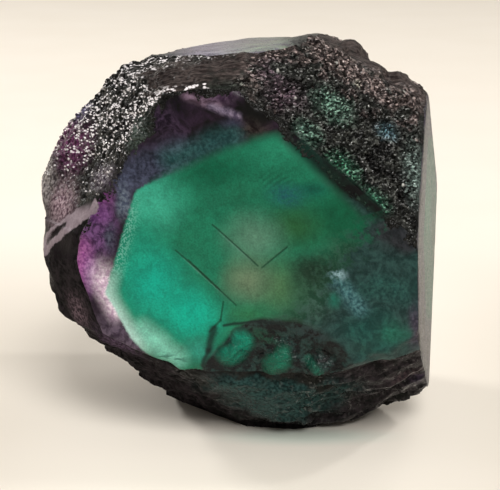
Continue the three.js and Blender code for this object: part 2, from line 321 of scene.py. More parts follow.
def dome(points, centre, radius):
    """A dome 1 high at its centre, which fades out at its radius."""
    reach = np.minimum(1, np.linalg.norm(points - np.array(centre), axis=1) / radius)
    return (1 - reach * reach) ** 2


def bite_depth(points):
    """How deep the bite goes into the front face at each point, between its domes and hackles."""
    reach = np.minimum(1, bite_reach(points))
    inside_rim = np.minimum(1, (1 - reach) * BITE_RADIUS / BITE_RIM)
    standing = HACKLE_HEIGHT * noise(points, HACKLE_SIZE, SEED["hackle"])
    for centre, radius, rise in DOMES:
        standing = standing + rise * dome(points, centre, radius)
    return BITE_DEPTH * (1 - reach * reach) - inside_rim * standing


def worn_round(points, under):
    """The move that wears back the edges, more in some places than in others."""
    move = np.zeros(points.shape)
    uneven = WEAR_SHARE + WEAR_VARIES * noise(points, WEAR_SIZE, SEED["wear"])
    foot = (FACE["lower front break"], FACE["lower right break"])
    for one, other in itertools.combinations(range(len(FACES)), 2):
        width, amount = ROUGH_ROUND_WIDTH, ROUGH_ROUND_DEPTH
        if one in SMOOTH or other in SMOOTH:
            width, amount = ROUND_WIDTH, ROUND_DEPTH
        if one == 0 and other in foot:
            width, amount = FOOT_ROUND_WIDTH, FOOT_ROUND_DEPTH
        near = np.clip(1 - under[:, [one, other]] / width, 0, 1) ** 2
        between = NORMALS[one] + NORMALS[other]
        move -= amount * (near.prod(1) * uneven)[:, None] * between / np.linalg.norm(between)
    return move


def bulge(share):
    """0 at both ends of a line, and 1 in its middle."""
    return np.sqrt(np.clip(share * (1 - share) * 4, 0, 1))


def raised_relief(points, under, through):
    """The move of each point by the relief of its rough faces. On a smooth face it stays in the plane."""
    calm = CALM_SHARE + (1 - CALM_SHARE) * np.clip(under[:, SMOOTH].min(1) / CALM_WIDTH, 0, 1)
    out, height, count = np.zeros(points.shape), np.zeros(len(points)), np.zeros(len(points))
    for face in ROUGH:
        on = through[:, face]
        others = [other for other in ROUGH if other != face]
        nearest = under[on][:, others].min(1)
        wear = WORN_DEPTH * np.exp(-((nearest / WORN_WIDTH) ** 2))
        raised = calm[on] * HEIGHTS[SURFACES[face]](points[on], face) - wear
        if face == FACE["lower right break"]:
            raised *= 1 - np.clip(above_window_foot(points[on]) + BREAK_WHOLE_BELOW, 0, 1)
        height[on] += raised
        out[on] += NORMALS[face]
        count[on] += 1
    height /= np.maximum(count, 1)
    for centre, radius, rise in LUMPS:
        height += rise * dome(points, centre, radius)
    out /= np.maximum(np.linalg.norm(out, axis=1), SAME)[:, None]
    move = out * height[:, None]
    # A corner lies on several smooth faces, so the move is laid into their planes a few times in turn.
    rounds = 8
    for face in list(SMOOTH) * rounds:
        on = through[:, face]
        move[on] -= (move[on] @ NORMALS[face])[:, None] * NORMALS[face]
    return move


def carve(points):
    """Where each point of the flat-faced crystal ends up. Nothing stands out of a smooth face."""
    under = depths(points)
    through = np.abs(under) < SAME
    moved = points + raised_relief(points, under, through)
    for face in SMOOTH:
        moved += np.minimum(0, DISTANCES[face] - moved @ NORMALS[face])[:, None] * NORMALS[face]
    on_foot = through[:, FACE["foot, a cleavage"]]
    moved += np.where(on_foot[:, None], 0, worn_round(points, under))
    missing = bite_depth(points) - (DISTANCES[0] - moved @ FRONT)
    moved -= np.where((bite_reach(points) < 1) & (missing > 0), missing, 0)[:, None] * FRONT
    for start, end in CRACKS:
        distance, share = from_segment(points, start, end)
        open_share = np.clip(1 - distance / CRACK_WIDTH, 0, 1) * bulge(share)
        moved -= np.where(through[:, 0], CRACK_DEPTH * open_share, 0)[:, None] * FRONT
    bevel = NORMALS[FACE["small left bevel"]]
    distance, share = from_segment(points, *LENS_HOLLOW)
    hollow = np.clip(1 - distance / (LENS_WIDTH * np.sqrt(share * (1 - share) * 4 + SAME)), 0, 1)
    moved -= np.where(through[:, FACE["small left bevel"]], LENS_DEPTH * hollow, 0)[:, None] * bevel
    return moved


corners = crystal_corners()
fans = [fan_over(face, corners) for face in range(len(FACES))]
fan_faces = np.repeat(np.arange(len(FACES)), [len(fan) for fan in fans])
triangles, triangle_faces = split(np.array(list(itertools.chain(*fans))), fan_faces)
flat_points, point_of = np.unique((triangles.reshape(-1, 3) / SAME).round(), axis=0, return_inverse=True)
flat_points = flat_points * SAME
point_of = point_of.reshape(-1, 3)

carved = carve(flat_points)
body_mesh = bpy.data.meshes.new("fluorite body")
body_mesh.from_pydata(((carved + CENTRE) * MM).tolist(), [], point_of.tolist())
body_mesh.polygons.foreach_set("use_smooth", np.ones(len(point_of), bool))

# How deep the pale band reaches under its two faces, and over what length the grain begins beside the band,
# beside the dark wedge, beside a smooth face, and at the end of its own face.
BAND_REACH, BAND_FADE, WEDGE_FADE, SMOOTH_FADE, GRAIN_FADE = 0.35, 0.3, 0.4, 0.5, 0.7
# The lowest share of the grain beside a smooth face.
LEAST_BESIDE_SMOOTH = 0.25
# How far the crust creeps over the edge of the front face, and by how much that varies, coarsely and finely.
CREEP, CREEP_VARIES, CREEP_SIZE, FRAY_VARIES, FRAY_SIZE = 0.45, 0.4, 1.3, 0.25, 0.5
# How much the border between two kinds of grain wanders.
WANDER_VARIES, WANDER_SIZE = 0.25, 0.9
# Pebbles grow from their lowest share, below one height, to their full height above another.
LEAST_PEBBLES, PEBBLES_LOW, PEBBLES_HIGH = 0.4, 3, 10

# What the grain and the finish need to know: the face of each triangle, and how far each kind of grain goes.
middles = flat_points[point_of].mean(1)
runs_on = (triangle_faces == FACE["lower right break"]) & (above_window_foot(middles) > 0)
facet = body_mesh.attributes.new("facet", "FLOAT", "FACE")
facet.data.foreach_set("value", np.where(runs_on, 0, triangle_faces).astype(np.float32))
flat_depths = depths(flat_points)
under_band_faces = flat_depths[:, [FACE["small left bevel"], 0]].min(1)
from_band = from_segment(flat_points, *PALE_BAND)[0] - PALE_BAND_WIDTH
beside_band = np.clip(np.maximum(from_band, under_band_faces - BAND_REACH) / BAND_FADE, 0, 1)
from_wedge = from_segment(flat_points, *DARK_WEDGE)[0] - DARK_WEDGE_WIDTH
beside_wedge = np.clip(from_wedge / WEDGE_FADE, 0, 1)
on_smooth = (flat_depths[:, SMOOTH] < SAME).any(1)
beside_smooth = np.clip(flat_depths[:, SMOOTH].min(1) / SMOOTH_FADE, LEAST_BESIDE_SMOOTH, 1)
on_front_face = flat_depths[:, 0] < SAME
creep_reach = CREEP + CREEP_VARIES * noise(flat_points, CREEP_SIZE, SEED["creep"])
creep_reach += FRAY_VARIES * noise(flat_points, FRAY_SIZE, SEED["fray"])
pebble_growth = np.clip((flat_points[:, 2] - PEBBLES_LOW) / (PEBBLES_HIGH - PEBBLES_LOW), 0, 1)
pebble_growth = LEAST_PEBBLES + (1 - LEAST_PEBBLES) * pebble_growth


def grain_share(kind):
    """1 on the faces with a kind of grain, and 0 away from them."""
    nearest = flat_depths[:, GRAIN == kind].min(1)
    wander = WANDER_VARIES * noise(flat_points, WANDER_SIZE, SEED["wander"])
    share = np.clip(1.2 - (nearest + wander) / GRAIN_FADE, 0, 1) * beside_smooth
    share = np.where(on_smooth, 0, share)
    if kind in ("pebbled", "cornered", "striated"):
        share = np.where(on_front_face, np.clip((creep_reach - nearest) * 3 + 0.5, 0, 1), share)
    if kind == "shelly":
        in_bite = np.clip((1 - bite_reach(flat_points)) * 5, 0, 1)
        share = np.where(on_front_face, in_bite, share)
    if kind == "ledged":
        share = share * np.clip(0.2 - above_window_foot(flat_points), 0, 1)
    return share * beside_band * beside_wedge * (pebble_growth if kind == "pebbled" else 1)


for kind in sorted(set(GRAIN) - {"glassy"}):
    spread = body_mesh.attributes.new(kind, "FLOAT", "POINT")
    spread.data.foreach_set("value", grain_share(kind).astype(np.float32))

# The place of each point before its grain is raised. The finish reads it too, so that the grains agree.
place = body_mesh.attributes.new("carved place", "FLOAT_VECTOR", "POINT")
place.data.foreach_set("vector", carved.astype(np.float32).ravel())

crystal = bpy.data.objects.new("fluorite_crystal_grown", body_mesh)
bpy.context.scene.collection.objects.link(crystal)

# The grain of the rough faces
# Etching left them pebbled or studded with tiny crystals, and breaking left striae, ledges and shells.
# Geometry Nodes raise the grain by the place on the body, and the finish adds its finest part there.


# How far a noise moves for each step of its seed.
SEED_STEP = (7.7, 3.1, 1.3)


class Nodes:
    """Adds nodes to one tree. A value is a number, a tuple or another node's output."""

    def __init__(self, tree):
        self.tree = tree

    def add(self, kind, inputs=(), **settings):
        node = self.tree.nodes.new(kind)
        for name, value in settings.items():
            setattr(node, name, value)
        for name, value in dict(inputs).items():
            if isinstance(value, bpy.types.NodeSocket):
                self.tree.links.new(value, node.inputs[name])
            else:
                node.inputs[name].default_value = value
        return node

    def math(self, operation, *values):
        return self.add("ShaderNodeMath", enumerate(values), operation=operation).outputs[0]

    def vector(self, operation, *values):
        node = self.add("ShaderNodeVectorMath", enumerate(values), operation=operation)
        return node.outputs["Value" if operation in ("DOT_PRODUCT", "LENGTH", "DISTANCE") else "Vector"]

    def scaled(self, vector, factor):
        inputs = {0: vector, "Scale": factor}
        return self.add("ShaderNodeVectorMath", inputs, operation="SCALE").outputs["Vector"]

    def folded(self, operation, values):
        """What an operation makes of its values, taken in turn."""
        result = values[0]
        for value in values[1:]:
            result = self.math(operation, result, value)
        return result

    def plus(self, *values):
        return self.folded("ADD", values)

    def times(self, *values):
        return self.folded("MULTIPLY", values)

    def minus(self, value, taken):
        return self.math("SUBTRACT", value, taken)

    def along(self, place, way):
        """How far a place lies along a way."""
        return self.vector("DOT_PRODUCT", place, way)

    def ramp(self, value, low, high):
        """0 up to low and 1 from high, smoothly. With low above high it falls."""
        inputs = {"Value": value, "From Min": low, "From Max": high}
        node = self.add("ShaderNodeMapRange", inputs, interpolation_type="SMOOTHSTEP")
        return node.outputs["Result"]

    def mix(self, share, first, second):
        node = self.add("ShaderNodeMix", {0: share}, data_type="RGBA")
        for socket, value in zip(node.inputs[6:8], (first, second)):
            if isinstance(value, bpy.types.NodeSocket):
                self.tree.links.new(value, socket)
            else:
                socket.default_value = value
        return node.outputs[2]

    def noise(self, at, size, seed=0.0, detail=2.0, roughness=0.5, output="Fac"):
        """Noise with lumps of about one size, from 0 to 1. Another seed gives other lumps."""
        if isinstance(seed, bpy.types.NodeSocket):
            shift = self.scaled(SEED_STEP, seed)
        else:
            shift = tuple(step * seed for step in SEED_STEP)
        place = self.vector("ADD", at, shift)
        inputs = {"Vector": place, "Scale": 1 / size, "Detail": detail, "Roughness": roughness}
        return self.add("ShaderNodeTexNoise", inputs, noise_dimensions="3D").outputs[output]

    def shaken(self, at, size, seed, reach):
        """A place moved by up to half a reach each way, alike within lumps of about one size."""
        way = self.vector("SUBTRACT", self.noise(at, size, seed, output="Color"), (0.5, 0.5, 0.5))
        return self.vector("ADD", at, self.scaled(way, reach))

    def cells(self, at, spacing, seed):
        """Scattered points: how many spacings the nearest is away, the way from it, and its own chances."""
        place = self.scaled(at, self.math("DIVIDE", 1.0, spacing))
        place = self.vector("ADD", place, self.scaled(SEED_STEP, seed))
        node = self.add("ShaderNodeTexVoronoi", {"Vector": place, "Scale": 1.0}, voronoi_dimensions="3D")
        away = self.vector("SUBTRACT", place, node.outputs["Position"])
        return node.outputs["Distance"], away, node.outputs["Color"]


# Each kind of grain: the pattern of its bumps, their spacing, and their height.
GRAINS = {
    "pebbled": ("domes", 0.43, 0.15),
    "cornered": ("crystals", 0.36, 0.16),
    "striated": ("striae", 0.5, 0.12),
    "crenulated": ("domes", 0.62, 0.17),
    "shelly": ("ripples", 1.3, 0.1),
    "ledged": ("ledges", 1.3, 0.2),
}
# The seed of all the grain, in the mesh and in its finish.
GRAIN_SEED = 1.0


def bumps(n, pattern, cell):
    """Rounded pebbles or flat crystals on scattered points, each with its own tilt. About -0.5 to 0.5."""
    distance, away, chances = cell
    tilt = n.along(n.vector("SUBTRACT", chances, (0.5, 0.5, 0.5)), away)
    if pattern == "domes":
        fall = n.times(distance, distance, 1.3)
        return n.plus(n.minus(0.5, fall), n.times(tilt, 0.7))
    return n.plus(n.minus(0.5, distance), n.times(tilt, 2.2))


def grain_height(n, kind, at, spacing, height, seed):
    """The height of one kind of grain at a place. The place, spacing and height are in millimetres."""
    pattern = GRAINS[kind][0]
    if pattern in ("domes", "crystals"):
        share = bumps(n, pattern, n.cells(at, spacing, seed))
    elif pattern == "ledges":
        wander = n.times(n.noise(at, 2.2, seed), 1.6)
        climb = n.math("DIVIDE", n.along(at, (-0.37, -0.3, 0.88)), spacing)
        share = n.minus(n.math("FRACT", n.plus(climb, wander)), 0.5)
    else:
        stretch = {"striae": (0.2, 1.0, 1.0), "ripples": (1.0, 1.0, 1.0)}[pattern]
        drawn = n.scaled(n.vector("MULTIPLY", at, stretch), n.math("DIVIDE", 1.0, spacing))
        share = n.minus(n.times(n.noise(drawn, 1.0, seed), 2.0), 1.0)
    return n.times(share, height)


# Each finish, and the last of the faces above that it goes on. A later one goes over an earlier one.
FINISHES = [
    ("crust", len(FACES) - 1),
    ("clear faces", FACE["foot, a cleavage"]),
    ("window", FACE["front cube face"]),
]


def grain_tree():
    """The tree that raises the grain of each kind and lays the finishes on the faces."""
    tree = bpy.data.node_groups.new("etched grain", "GeometryNodeTree")
    sockets = {}
    names = ["Geometry", "Seed"] + [name for name, _ in FINISHES]
    names += [f"{kind} {size}" for kind in GRAINS for size in ("spacing", "height")]
    kinds = {"Geometry": "NodeSocketGeometry"} | {name: "NodeSocketMaterial" for name, _ in FINISHES}
    for name in names:
        kind = kinds.get(name, "NodeSocketFloat")
        sockets[name] = tree.interface.new_socket(name, in_out="INPUT", socket_type=kind)
    tree.interface.new_socket("Geometry", in_out="OUTPUT", socket_type="NodeSocketGeometry")
    n = Nodes(tree)
    given = n.add("NodeGroupInput").outputs

    def stored(name, kind="FLOAT"):
        return n.add("GeometryNodeInputNamedAttribute", {"Name": name}, data_type=kind).outputs["Attribute"]

    at = stored("carved place", "FLOAT_VECTOR")
    rises = []
    for kind in GRAINS:
        height = grain_height(n, kind, at, given[f"{kind} spacing"], given[f"{kind} height"], given["Seed"])
        rises.append(n.times(height, stored(kind)))
    normal = n.add("GeometryNodeInputNormal").outputs[0]
    offset = n.scaled(normal, n.times(n.plus(*rises), MM))
    moved = n.add("GeometryNodeSetPosition", {"Geometry": given["Geometry"], "Offset": offset})
    finished = n.add("GeometryNodeRealizeInstances", {"Geometry": moved.outputs[0]}).outputs[0]
    for name, last_face in FINISHES:
        on_faces = n.math("LESS_THAN", stored("facet"), last_face + 0.5)
        inputs = {"Geometry": finished, "Selection": on_faces, "Material": given[name]}
        finished = n.add("GeometryNodeSetMaterial", inputs).outputs[0]
    n.add("NodeGroupOutput", {"Geometry": finished})
    return tree, sockets

# The colour and finish of the crystal
# Fluorite is clear, and its colour grew in zones: a green heart behind the front face, violet and lilac round
# it, and a dark crust. The window onto the heart, the crust and the other faces each have a material.


def seen(red, green, blue):
    """A colour as the eye sees it, from 0 to 255, as the light that it sends back."""
    shares = [value / 255 for value in (red, green, blue)]
    return tuple(s / 12.92 if s <= 0.04045 else ((s + 0.055) / 1.055) ** 2.4 for s in shares) + (1.0,)


# The light on the crystal from the front, the light that its shine adds, and the darkest colour.
FRONT_LIGHT, SHINE, DARKEST = 0.93, 0.01, 0.0015
# How strongly fluorite bends light.
FLUORITE_IOR = 1.434


def tone(red, green, blue):
    """The colour inside the crystal that looks like this once the shine is added to it."""
    return tuple(max(DARKEST, (share - SHINE) / FRONT_LIGHT) for share in seen(red, green, blue)[:3]) + (1.0,)


def on_front(point):
    """Where a point of the crystal lies on the front face."""
    return (float(np.dot(point, ACROSS_FRONT)), float(np.dot(point, UP_FRONT)))


def laid_flat(n, point, across, up=(0.0, 0.0, 1.0)):
    """Where a place lies on a face, in millimetres across and up."""
    inputs = {"X": n.along(point, across), "Y": n.along(point, up)}
    return n.add("ShaderNodeCombineXYZ", inputs).outputs[0]


def depth_under(n, at, *names):
    """How deep a place lies under the nearest plane of some faces."""
    nearest = None
    for name in names:
        flat = n.along(at, tuple(NORMALS[FACE[name]]))
        depth = n.minus(float(DISTANCES[FACE[name]]), flat)
        nearest = depth if nearest is None else n.math("MINIMUM", nearest, depth)
    return nearest


def patch(n, where, centre, radii, core=0.2):
    """A soft patch: 1 in its core and 0 from its radii out."""
    shrink = [1 / radius for radius in radii] + [0.0] * (3 - len(radii))
    shift = [-place / radius for place, radius in zip(centre, radii)] + [0.0] * (3 - len(radii))
    return n.ramp(n.vector("LENGTH", n.vector("MULTIPLY_ADD", where, tuple(shrink), tuple(shift))), 1.0, core)


def streak(n, where, start, end, width, core=0.0):
    """A soft line between two places: 1 in its core and 0 a width away from it."""
    along = np.subtract(end, start)
    length = float(np.linalg.norm(along))
    way = tuple(along / length) + (0.0,) * (3 - len(along))
    away = n.vector("SUBTRACT", where, tuple(start) + (0.0,) * (3 - len(start)))
    reach = n.math("MINIMUM", n.math("MAXIMUM", n.along(away, way), 0.0), length)
    return n.ramp(n.vector("DISTANCE", away, n.scaled(way, reach)), width, core * width)


def past_ring(n, where, ring):
    """How far outside a ring of corners a place is, in millimetres. Inside it is below 0."""
    furthest = None
    middle = np.mean(ring, axis=0)
    for (x0, y0), (x1, y1) in zip(ring, ring[1:] + ring[:1]):
        way = np.array([y1 - y0, x0 - x1]) / math.hypot(x1 - x0, y1 - y0)
        if way @ (middle - (x0, y0)) > 0:
            way = -way
        reach = n.along(where, (way[0], way[1], 0.0))
        reach = n.minus(reach, float(way @ (x0, y0)))
        furthest = reach if furthest is None else n.math("SMOOTH_MAX", furthest, reach, 0.5)
    return furthest


def zone(n, where, veil, dark, light, centre, radii, core=0.0):
    """A patch of the front face and its colour, which goes from dark to light with a veil of noise."""
    return patch(n, where, centre, radii, core), n.mix(veil, tone(*dark), tone(*light))


def spot(n, where, veil, dark, light, centre, radii, core=0.0):
    """A patch of the crust and its colour, which goes from dark to light with a veil of noise."""
    return patch(n, where, centre, radii, core), n.mix(veil, seen(*dark), seen(*light))


def layered(n, base, layers):
    """A colour with others laid over it in turn, each through its own mask."""
    for mask, colour in layers:
        base = n.mix(mask, base, colour)
    return base


def stored(n, name, output="Fac"):
    """What the mesh keeps under a name."""
    return n.add("ShaderNodeAttribute", attribute_name=name).outputs[output]


def veins_at(n, at):
    """Noise that the zones share: places moved a little and far, clouds, wisps, and fine and finest grain."""
    loose = n.shaken(at, 2.6, 51.0, reach=2.6)
    cloud = n.noise(loose, 1.5, 50.0, roughness=0.6)
    return {
        "soft": n.shaken(at, 2.6, 51.0, reach=0.9),
        "loose": loose,
        "drift": cloud,
        "cloud": n.ramp(cloud, 0.36, 0.62),
        "wisp": n.ramp(n.noise(loose, 0.6, 53.0, detail=3.0, roughness=0.65), 0.36, 0.64),
        "fine": n.ramp(n.noise(at, 0.24, 54.0, detail=1.0), 0.3, 0.68),
        "grain": n.noise(at, 0.13, 55.0, detail=0.0),
    }


def heart_colour(n, plain, soft, veins, hackle, past):
    """The green heart: turquoise low on the left, olive and grey in the middle, deep green on the right."""
    heart = layered(n, tone(38, 118, 90), [
        (patch(n, soft, (-5.2, 4.4), (4.2, 3.6), 0.1), tone(64, 168, 140)),
        (patch(n, soft, (-5.8, 0.6), (3.4, 3.8), 0.1), tone(38, 148, 121)),
        (patch(n, soft, (0.2, 6.6), (3.8, 2.0), 0.1), tone(24, 96, 71)),
        (patch(n, soft, (1.8, 5.0), (2.8, 2.4), 0.0), tone(38, 108, 82)),
        (patch(n, soft, (4.4, 8.5), (2.4, 1.8), 0.0), tone(44, 132, 102)),
        (patch(n, soft, (9.4, 3.6), (4.6, 3.4), 0.2), tone(28, 92, 66)),
        (patch(n, soft, (12.0, 4.0), (2.4, 1.6), 0.0), tone(30, 58, 46)),
        (patch(n, soft, (5.8, 2.9), (3.2, 2.6), 0.0), tone(44, 92, 58)),
        (patch(n, soft, (2.8, 1.9), (3.4, 2.8), 0.0), tone(88, 132, 110)),
        (patch(n, soft, (4.8, -1.6), (3.2, 3.2), 0.0), tone(72, 112, 78)),
        (patch(n, soft, (2.4, -1.2), (2.8, 2.6), 0.0), tone(102, 124, 98)),
        (patch(n, soft, (2.6, -3.8), (2.8, 1.4), 0.0), tone(50, 116, 80)),
        (patch(n, soft, (6.9, -0.5), (2.4, 2.4), 0.0), tone(44, 68, 54)),
        (patch(n, soft, (-4.6, -2.0), (4.0, 4.0), 0.0), tone(30, 166, 142)),
        (patch(n, soft, (-1.9, -4.0), (3.4, 3.0), 0.1), tone(0, 172, 146)),
        (patch(n, soft, (-1.2, -6.8), (2.0, 1.6), 0.0), tone(48, 142, 122)),
        (streak(n, soft, (-5.4, -5.4), (-3.0, -7.5), 1.5), tone(126, 200, 178)),
        (patch(n, soft, (7.0, 5.8), (1.6, 0.9), 0.0), tone(28, 92, 76)),
    ])
    mottling = n.times(n.plus(veins["cloud"], veins["wisp"]), 0.16)
    heart = n.scaled(heart, n.plus(0.8, mottling))
    # Towards the lower right the heart breaks up into dark mottles.
    toward, up = n.along(soft, (0.83, -0.56, 0.0)), n.along(soft, (0.0, 1.0, 0.0))
    broken = n.times(n.ramp(toward, 4.6, 7.4), n.ramp(up, 3.4, 1.0))
    heart = n.mix(n.times(broken, 0.85), heart, n.mix(hackle, tone(34, 54, 44), tone(60, 94, 74)))
    # Faint dark arcs and a bluish veil hang in the upper right of the heart, and dark grains on its right.
    arcs = n.math("SINE", n.times(n.vector("DISTANCE", soft, (7.4, 2.6, 0.0)), 17.0))
    arched = n.times(patch(n, soft, (4.4, 6.2), (2.2, 1.5), 0.0), n.ramp(arcs, -1.0, 1.0))
    heart = n.mix(n.times(arched, 0.45), heart, tone(20, 66, 52))
    veiled = n.times(patch(n, soft, (5.2, 5.2), (2.2, 1.4), 0.0), n.ramp(veins["fine"], -0.8, 0.9))
    heart = n.mix(veiled, heart, tone(38, 90, 94))
    grains = n.times(patch(n, soft, (7.2, -0.2), (2.6, 1.8), 0.0), n.ramp(veins["fine"], -0.6, 1.2))
    heart = n.mix(grains, heart, tone(30, 50, 40))
    # A pale glow runs inside the lower left edges of the heart, and pale grains inside its left edge.
    glow = n.times(n.ramp(past, -1.2, 0.2), patch(n, plain, (-7.0, -4.4), (4.4, 4.2), 0.4))
    heart = n.mix(n.times(glow, 0.9), heart, tone(194, 232, 222))
    dusty = n.times(n.ramp(past, -1.3, 0.1), patch(n, plain, (-7.0, 1.6), (2.2, 5.2), 0.3),
                    n.ramp(veins["grain"], 0.44, 0.62))
    heart = n.mix(n.times(dusty, 0.5), heart, tone(150, 204, 190))
    # Fine wrinkles cross the foot of the heart.
    drawn = n.vector("MULTIPLY", soft, (0.6, 3.0, 1.0))
    wrinkle = n.times(patch(n, plain, (-3.6, -7.6), (2.6, 0.8), 0.2),
                      n.ramp(n.noise(drawn, 0.8, 32.0, detail=1.0), 0.48, 0.6))
    heart = n.mix(n.times(wrinkle, 0.7), heart, tone(30, 84, 72))
    # Cleavage cracks, with a finer one beside the longest, and a healed one that runs down into the bite.
    fissures = [((0.6, -2.9), (0.4, -4.3), 0.12), ((0.4, -4.3), (-0.4, -5.2), 0.16)]
    fissures.append(((-2.0, 0.1), (0.3, -2.0), 0.13))
    for start, end in CRACKS:
        fissures.append((on_front(start), on_front(end), CRACK_WIDTH))
    for start, end, width in fissures:
        heart = n.mix(n.times(streak(n, plain, start, end, width, 0.1), 0.75), heart, tone(14, 62, 46))
    return heart


def left_of_heart(n, plain, soft, loose, veins):
    """Violet, magenta and lilac beside the left edge of the front face, and slate clouds above the heart."""
    cloud, wisp, fine = veins["cloud"], veins["wisp"], veins["fine"]
    speck = n.times(n.plus(cloud, fine), 0.5)
    slate = n.mix(speck, tone(46, 48, 62), tone(84, 90, 112))
    slate_teal = n.mix(speck, tone(34, 62, 64), tone(56, 92, 92))
    colour = layered(n, n.mix(cloud, tone(26, 18, 26), tone(48, 38, 50)), [
        zone(n, loose, wisp, (34, 26, 38), (72, 58, 78), (-4.4, 10.0), (3.4, 1.8)),
        zone(n, loose, wisp, (16, 11, 17), (32, 26, 36), (-2.6, 11.2), (1.0, 1.6)),
        zone(n, soft, wisp, (62, 44, 66), (106, 86, 108), (0.0, 12.3), (2.2, 1.0)),
        zone(n, soft, wisp, (13, 8, 10), (26, 18, 22), (2.9, 11.3), (1.7, 1.5), 0.4),
        zone(n, soft, wisp, (34, 27, 29), (62, 56, 54), (2.4, 9.9), (2.4, 1.1)),
        (patch(n, soft, (3.6, 9.3), (2.0, 0.7), 0.0), tone(46, 62, 56)),
        (streak(n, soft, (-2.1, 12.2), (0.0, 11.4), 0.6), n.mix(wisp, tone(84, 66, 80), tone(124, 104, 122))),
        (streak(n, soft, (-0.4, 11.4), (1.5, 10.7), 0.5), n.mix(wisp, tone(84, 74, 96), tone(132, 120, 140))),
        (patch(n, soft, (1.1, 10.2), (1.4, 0.6), 0.0), tone(62, 54, 76)),
        (streak(n, soft, (-7.4, 5.6), (-2.6, 7.5), 2.3), slate),
        (streak(n, soft, (-3.2, 7.4), (1.0, 9.2), 1.6), slate_teal),
        zone(n, soft, wisp, (66, 44, 76), (112, 78, 122), (-8.8, 2.4), (2.0, 3.4), 0.3),
        zone(n, soft, fine, (104, 58, 108), (136, 86, 138), (-8.6, 4.7), (1.5, 1.5), 0.2),
        zone(n, soft, fine, (90, 52, 102), (122, 78, 130), (-8.8, 3.2), (1.3, 1.0)),
        (patch(n, soft, (-7.6, 6.2), (0.7, 0.5), 0.2), tone(30, 18, 34)),
        zone(n, soft, fine, (76, 84, 106), (120, 132, 146), (-6.9, 4.2), (0.9, 2.0)),
        zone(n, soft, fine, (46, 46, 64), (82, 84, 100), (-7.8, 1.5), (0.8, 1.8)),
        zone(n, soft, fine, (134, 68, 132), (176, 108, 168), (-10.3, -0.4), (1.6, 3.0), 0.2),
        zone(n, soft, fine, (122, 78, 132), (156, 112, 162), (-9.4, -1.4), (1.0, 2.4)),
    ])
    pale = n.ramp(n.along(plain, (0.88, 0.47, 0.0)), -9.7, -8.4)
    pale = n.times(pale, patch(n, soft, (-8.4, -3.2), (2.2, 3.8), 0.35))
    colour = n.mix(pale, colour, n.mix(fine, tone(206, 174, 202), tone(232, 216, 228)))
    low = n.ramp(n.along(loose, (0.3, -0.95, 0.0)), 1.4, 3.0)
    colour = n.mix(low, colour, n.mix(wisp, tone(58, 46, 62), tone(96, 84, 100)))
    # A dark dotted line where the front face breaks off on the left.
    dots = n.ramp(n.noise(plain, 0.3, 34.0, detail=0.0), 0.38, 0.5)
    rim = n.times(streak(n, plain, (-11.2, 1.0), (-9.3, -4.2), 0.2, 0.2), dots)
    return n.mix(n.times(rim, 0.7), colour, tone(40, 22, 34))


def right_of_heart(n, soft, loose, veins, hackle):
    """Slate and teal glass right of the heart, with a pale blue streak where it begins."""
    wisp, fine = veins["wisp"], veins["fine"]
    return layered(n, n.mix(wisp, tone(34, 56, 55), tone(48, 74, 71)), [
        zone(n, loose, wisp, (36, 40, 43), (50, 52, 56), (13.0, 2.5), (3.0, 1.9), 0.3),
        zone(n, loose, fine, (34, 64, 62), (48, 86, 80), (12.2, -1.4), (3.4, 1.6), 0.1),
        zone(n, loose, wisp, (30, 68, 64), (37, 82, 75), (11.6, -5.0), (3.2, 2.6), 0.3),
        zone(n, loose, fine, (32, 90, 76), (40, 102, 86), (12.9, -4.5), (1.7, 1.6), 0.1),
        zone(n, loose, fine, (54, 52, 64), (76, 72, 86), (14.8, -4.2), (1.1, 3.0), 0.2),
        zone(n, soft, hackle, (36, 54, 50), (60, 90, 80), (7.3, -2.9), (2.2, 2.2), 0.1),
        (patch(n, soft, (8.7, -2.4), (0.9, 0.8), 0.0), tone(38, 98, 84)),
        (streak(n, soft, (8.9, -0.9), (10.6, -2.9), 1.1), n.mix(fine, tone(46, 82, 88), tone(80, 122, 124))),
        zone(n, soft, fine, (92, 132, 138), (150, 180, 188), (8.9, -0.5), (1.0, 0.6), 0.1),
    ])


def bite_colour(n, soft, veins, hackle):
    """The bite: dark hackles, and grey glass below them."""
    wisp = veins["wisp"]
    return layered(n, n.mix(hackle, tone(24, 30, 31), tone(44, 64, 61)), [
        zone(n, soft, wisp, (34, 54, 53), (50, 70, 67), (1.4, -9.8), (4.6, 1.8), 0.2),
        zone(n, soft, hackle, (20, 25, 26), (46, 58, 60), (7.6, -4.9), (2.8, 0.9)),
        zone(n, soft, hackle, (19, 25, 25), (38, 46, 45), (8.4, -6.4), (1.6, 1.4)),
        zone(n, soft, hackle, (22, 34, 32), (38, 72, 58), (3.3, -5.5), (1.9, 0.9), 0.2),
    ])


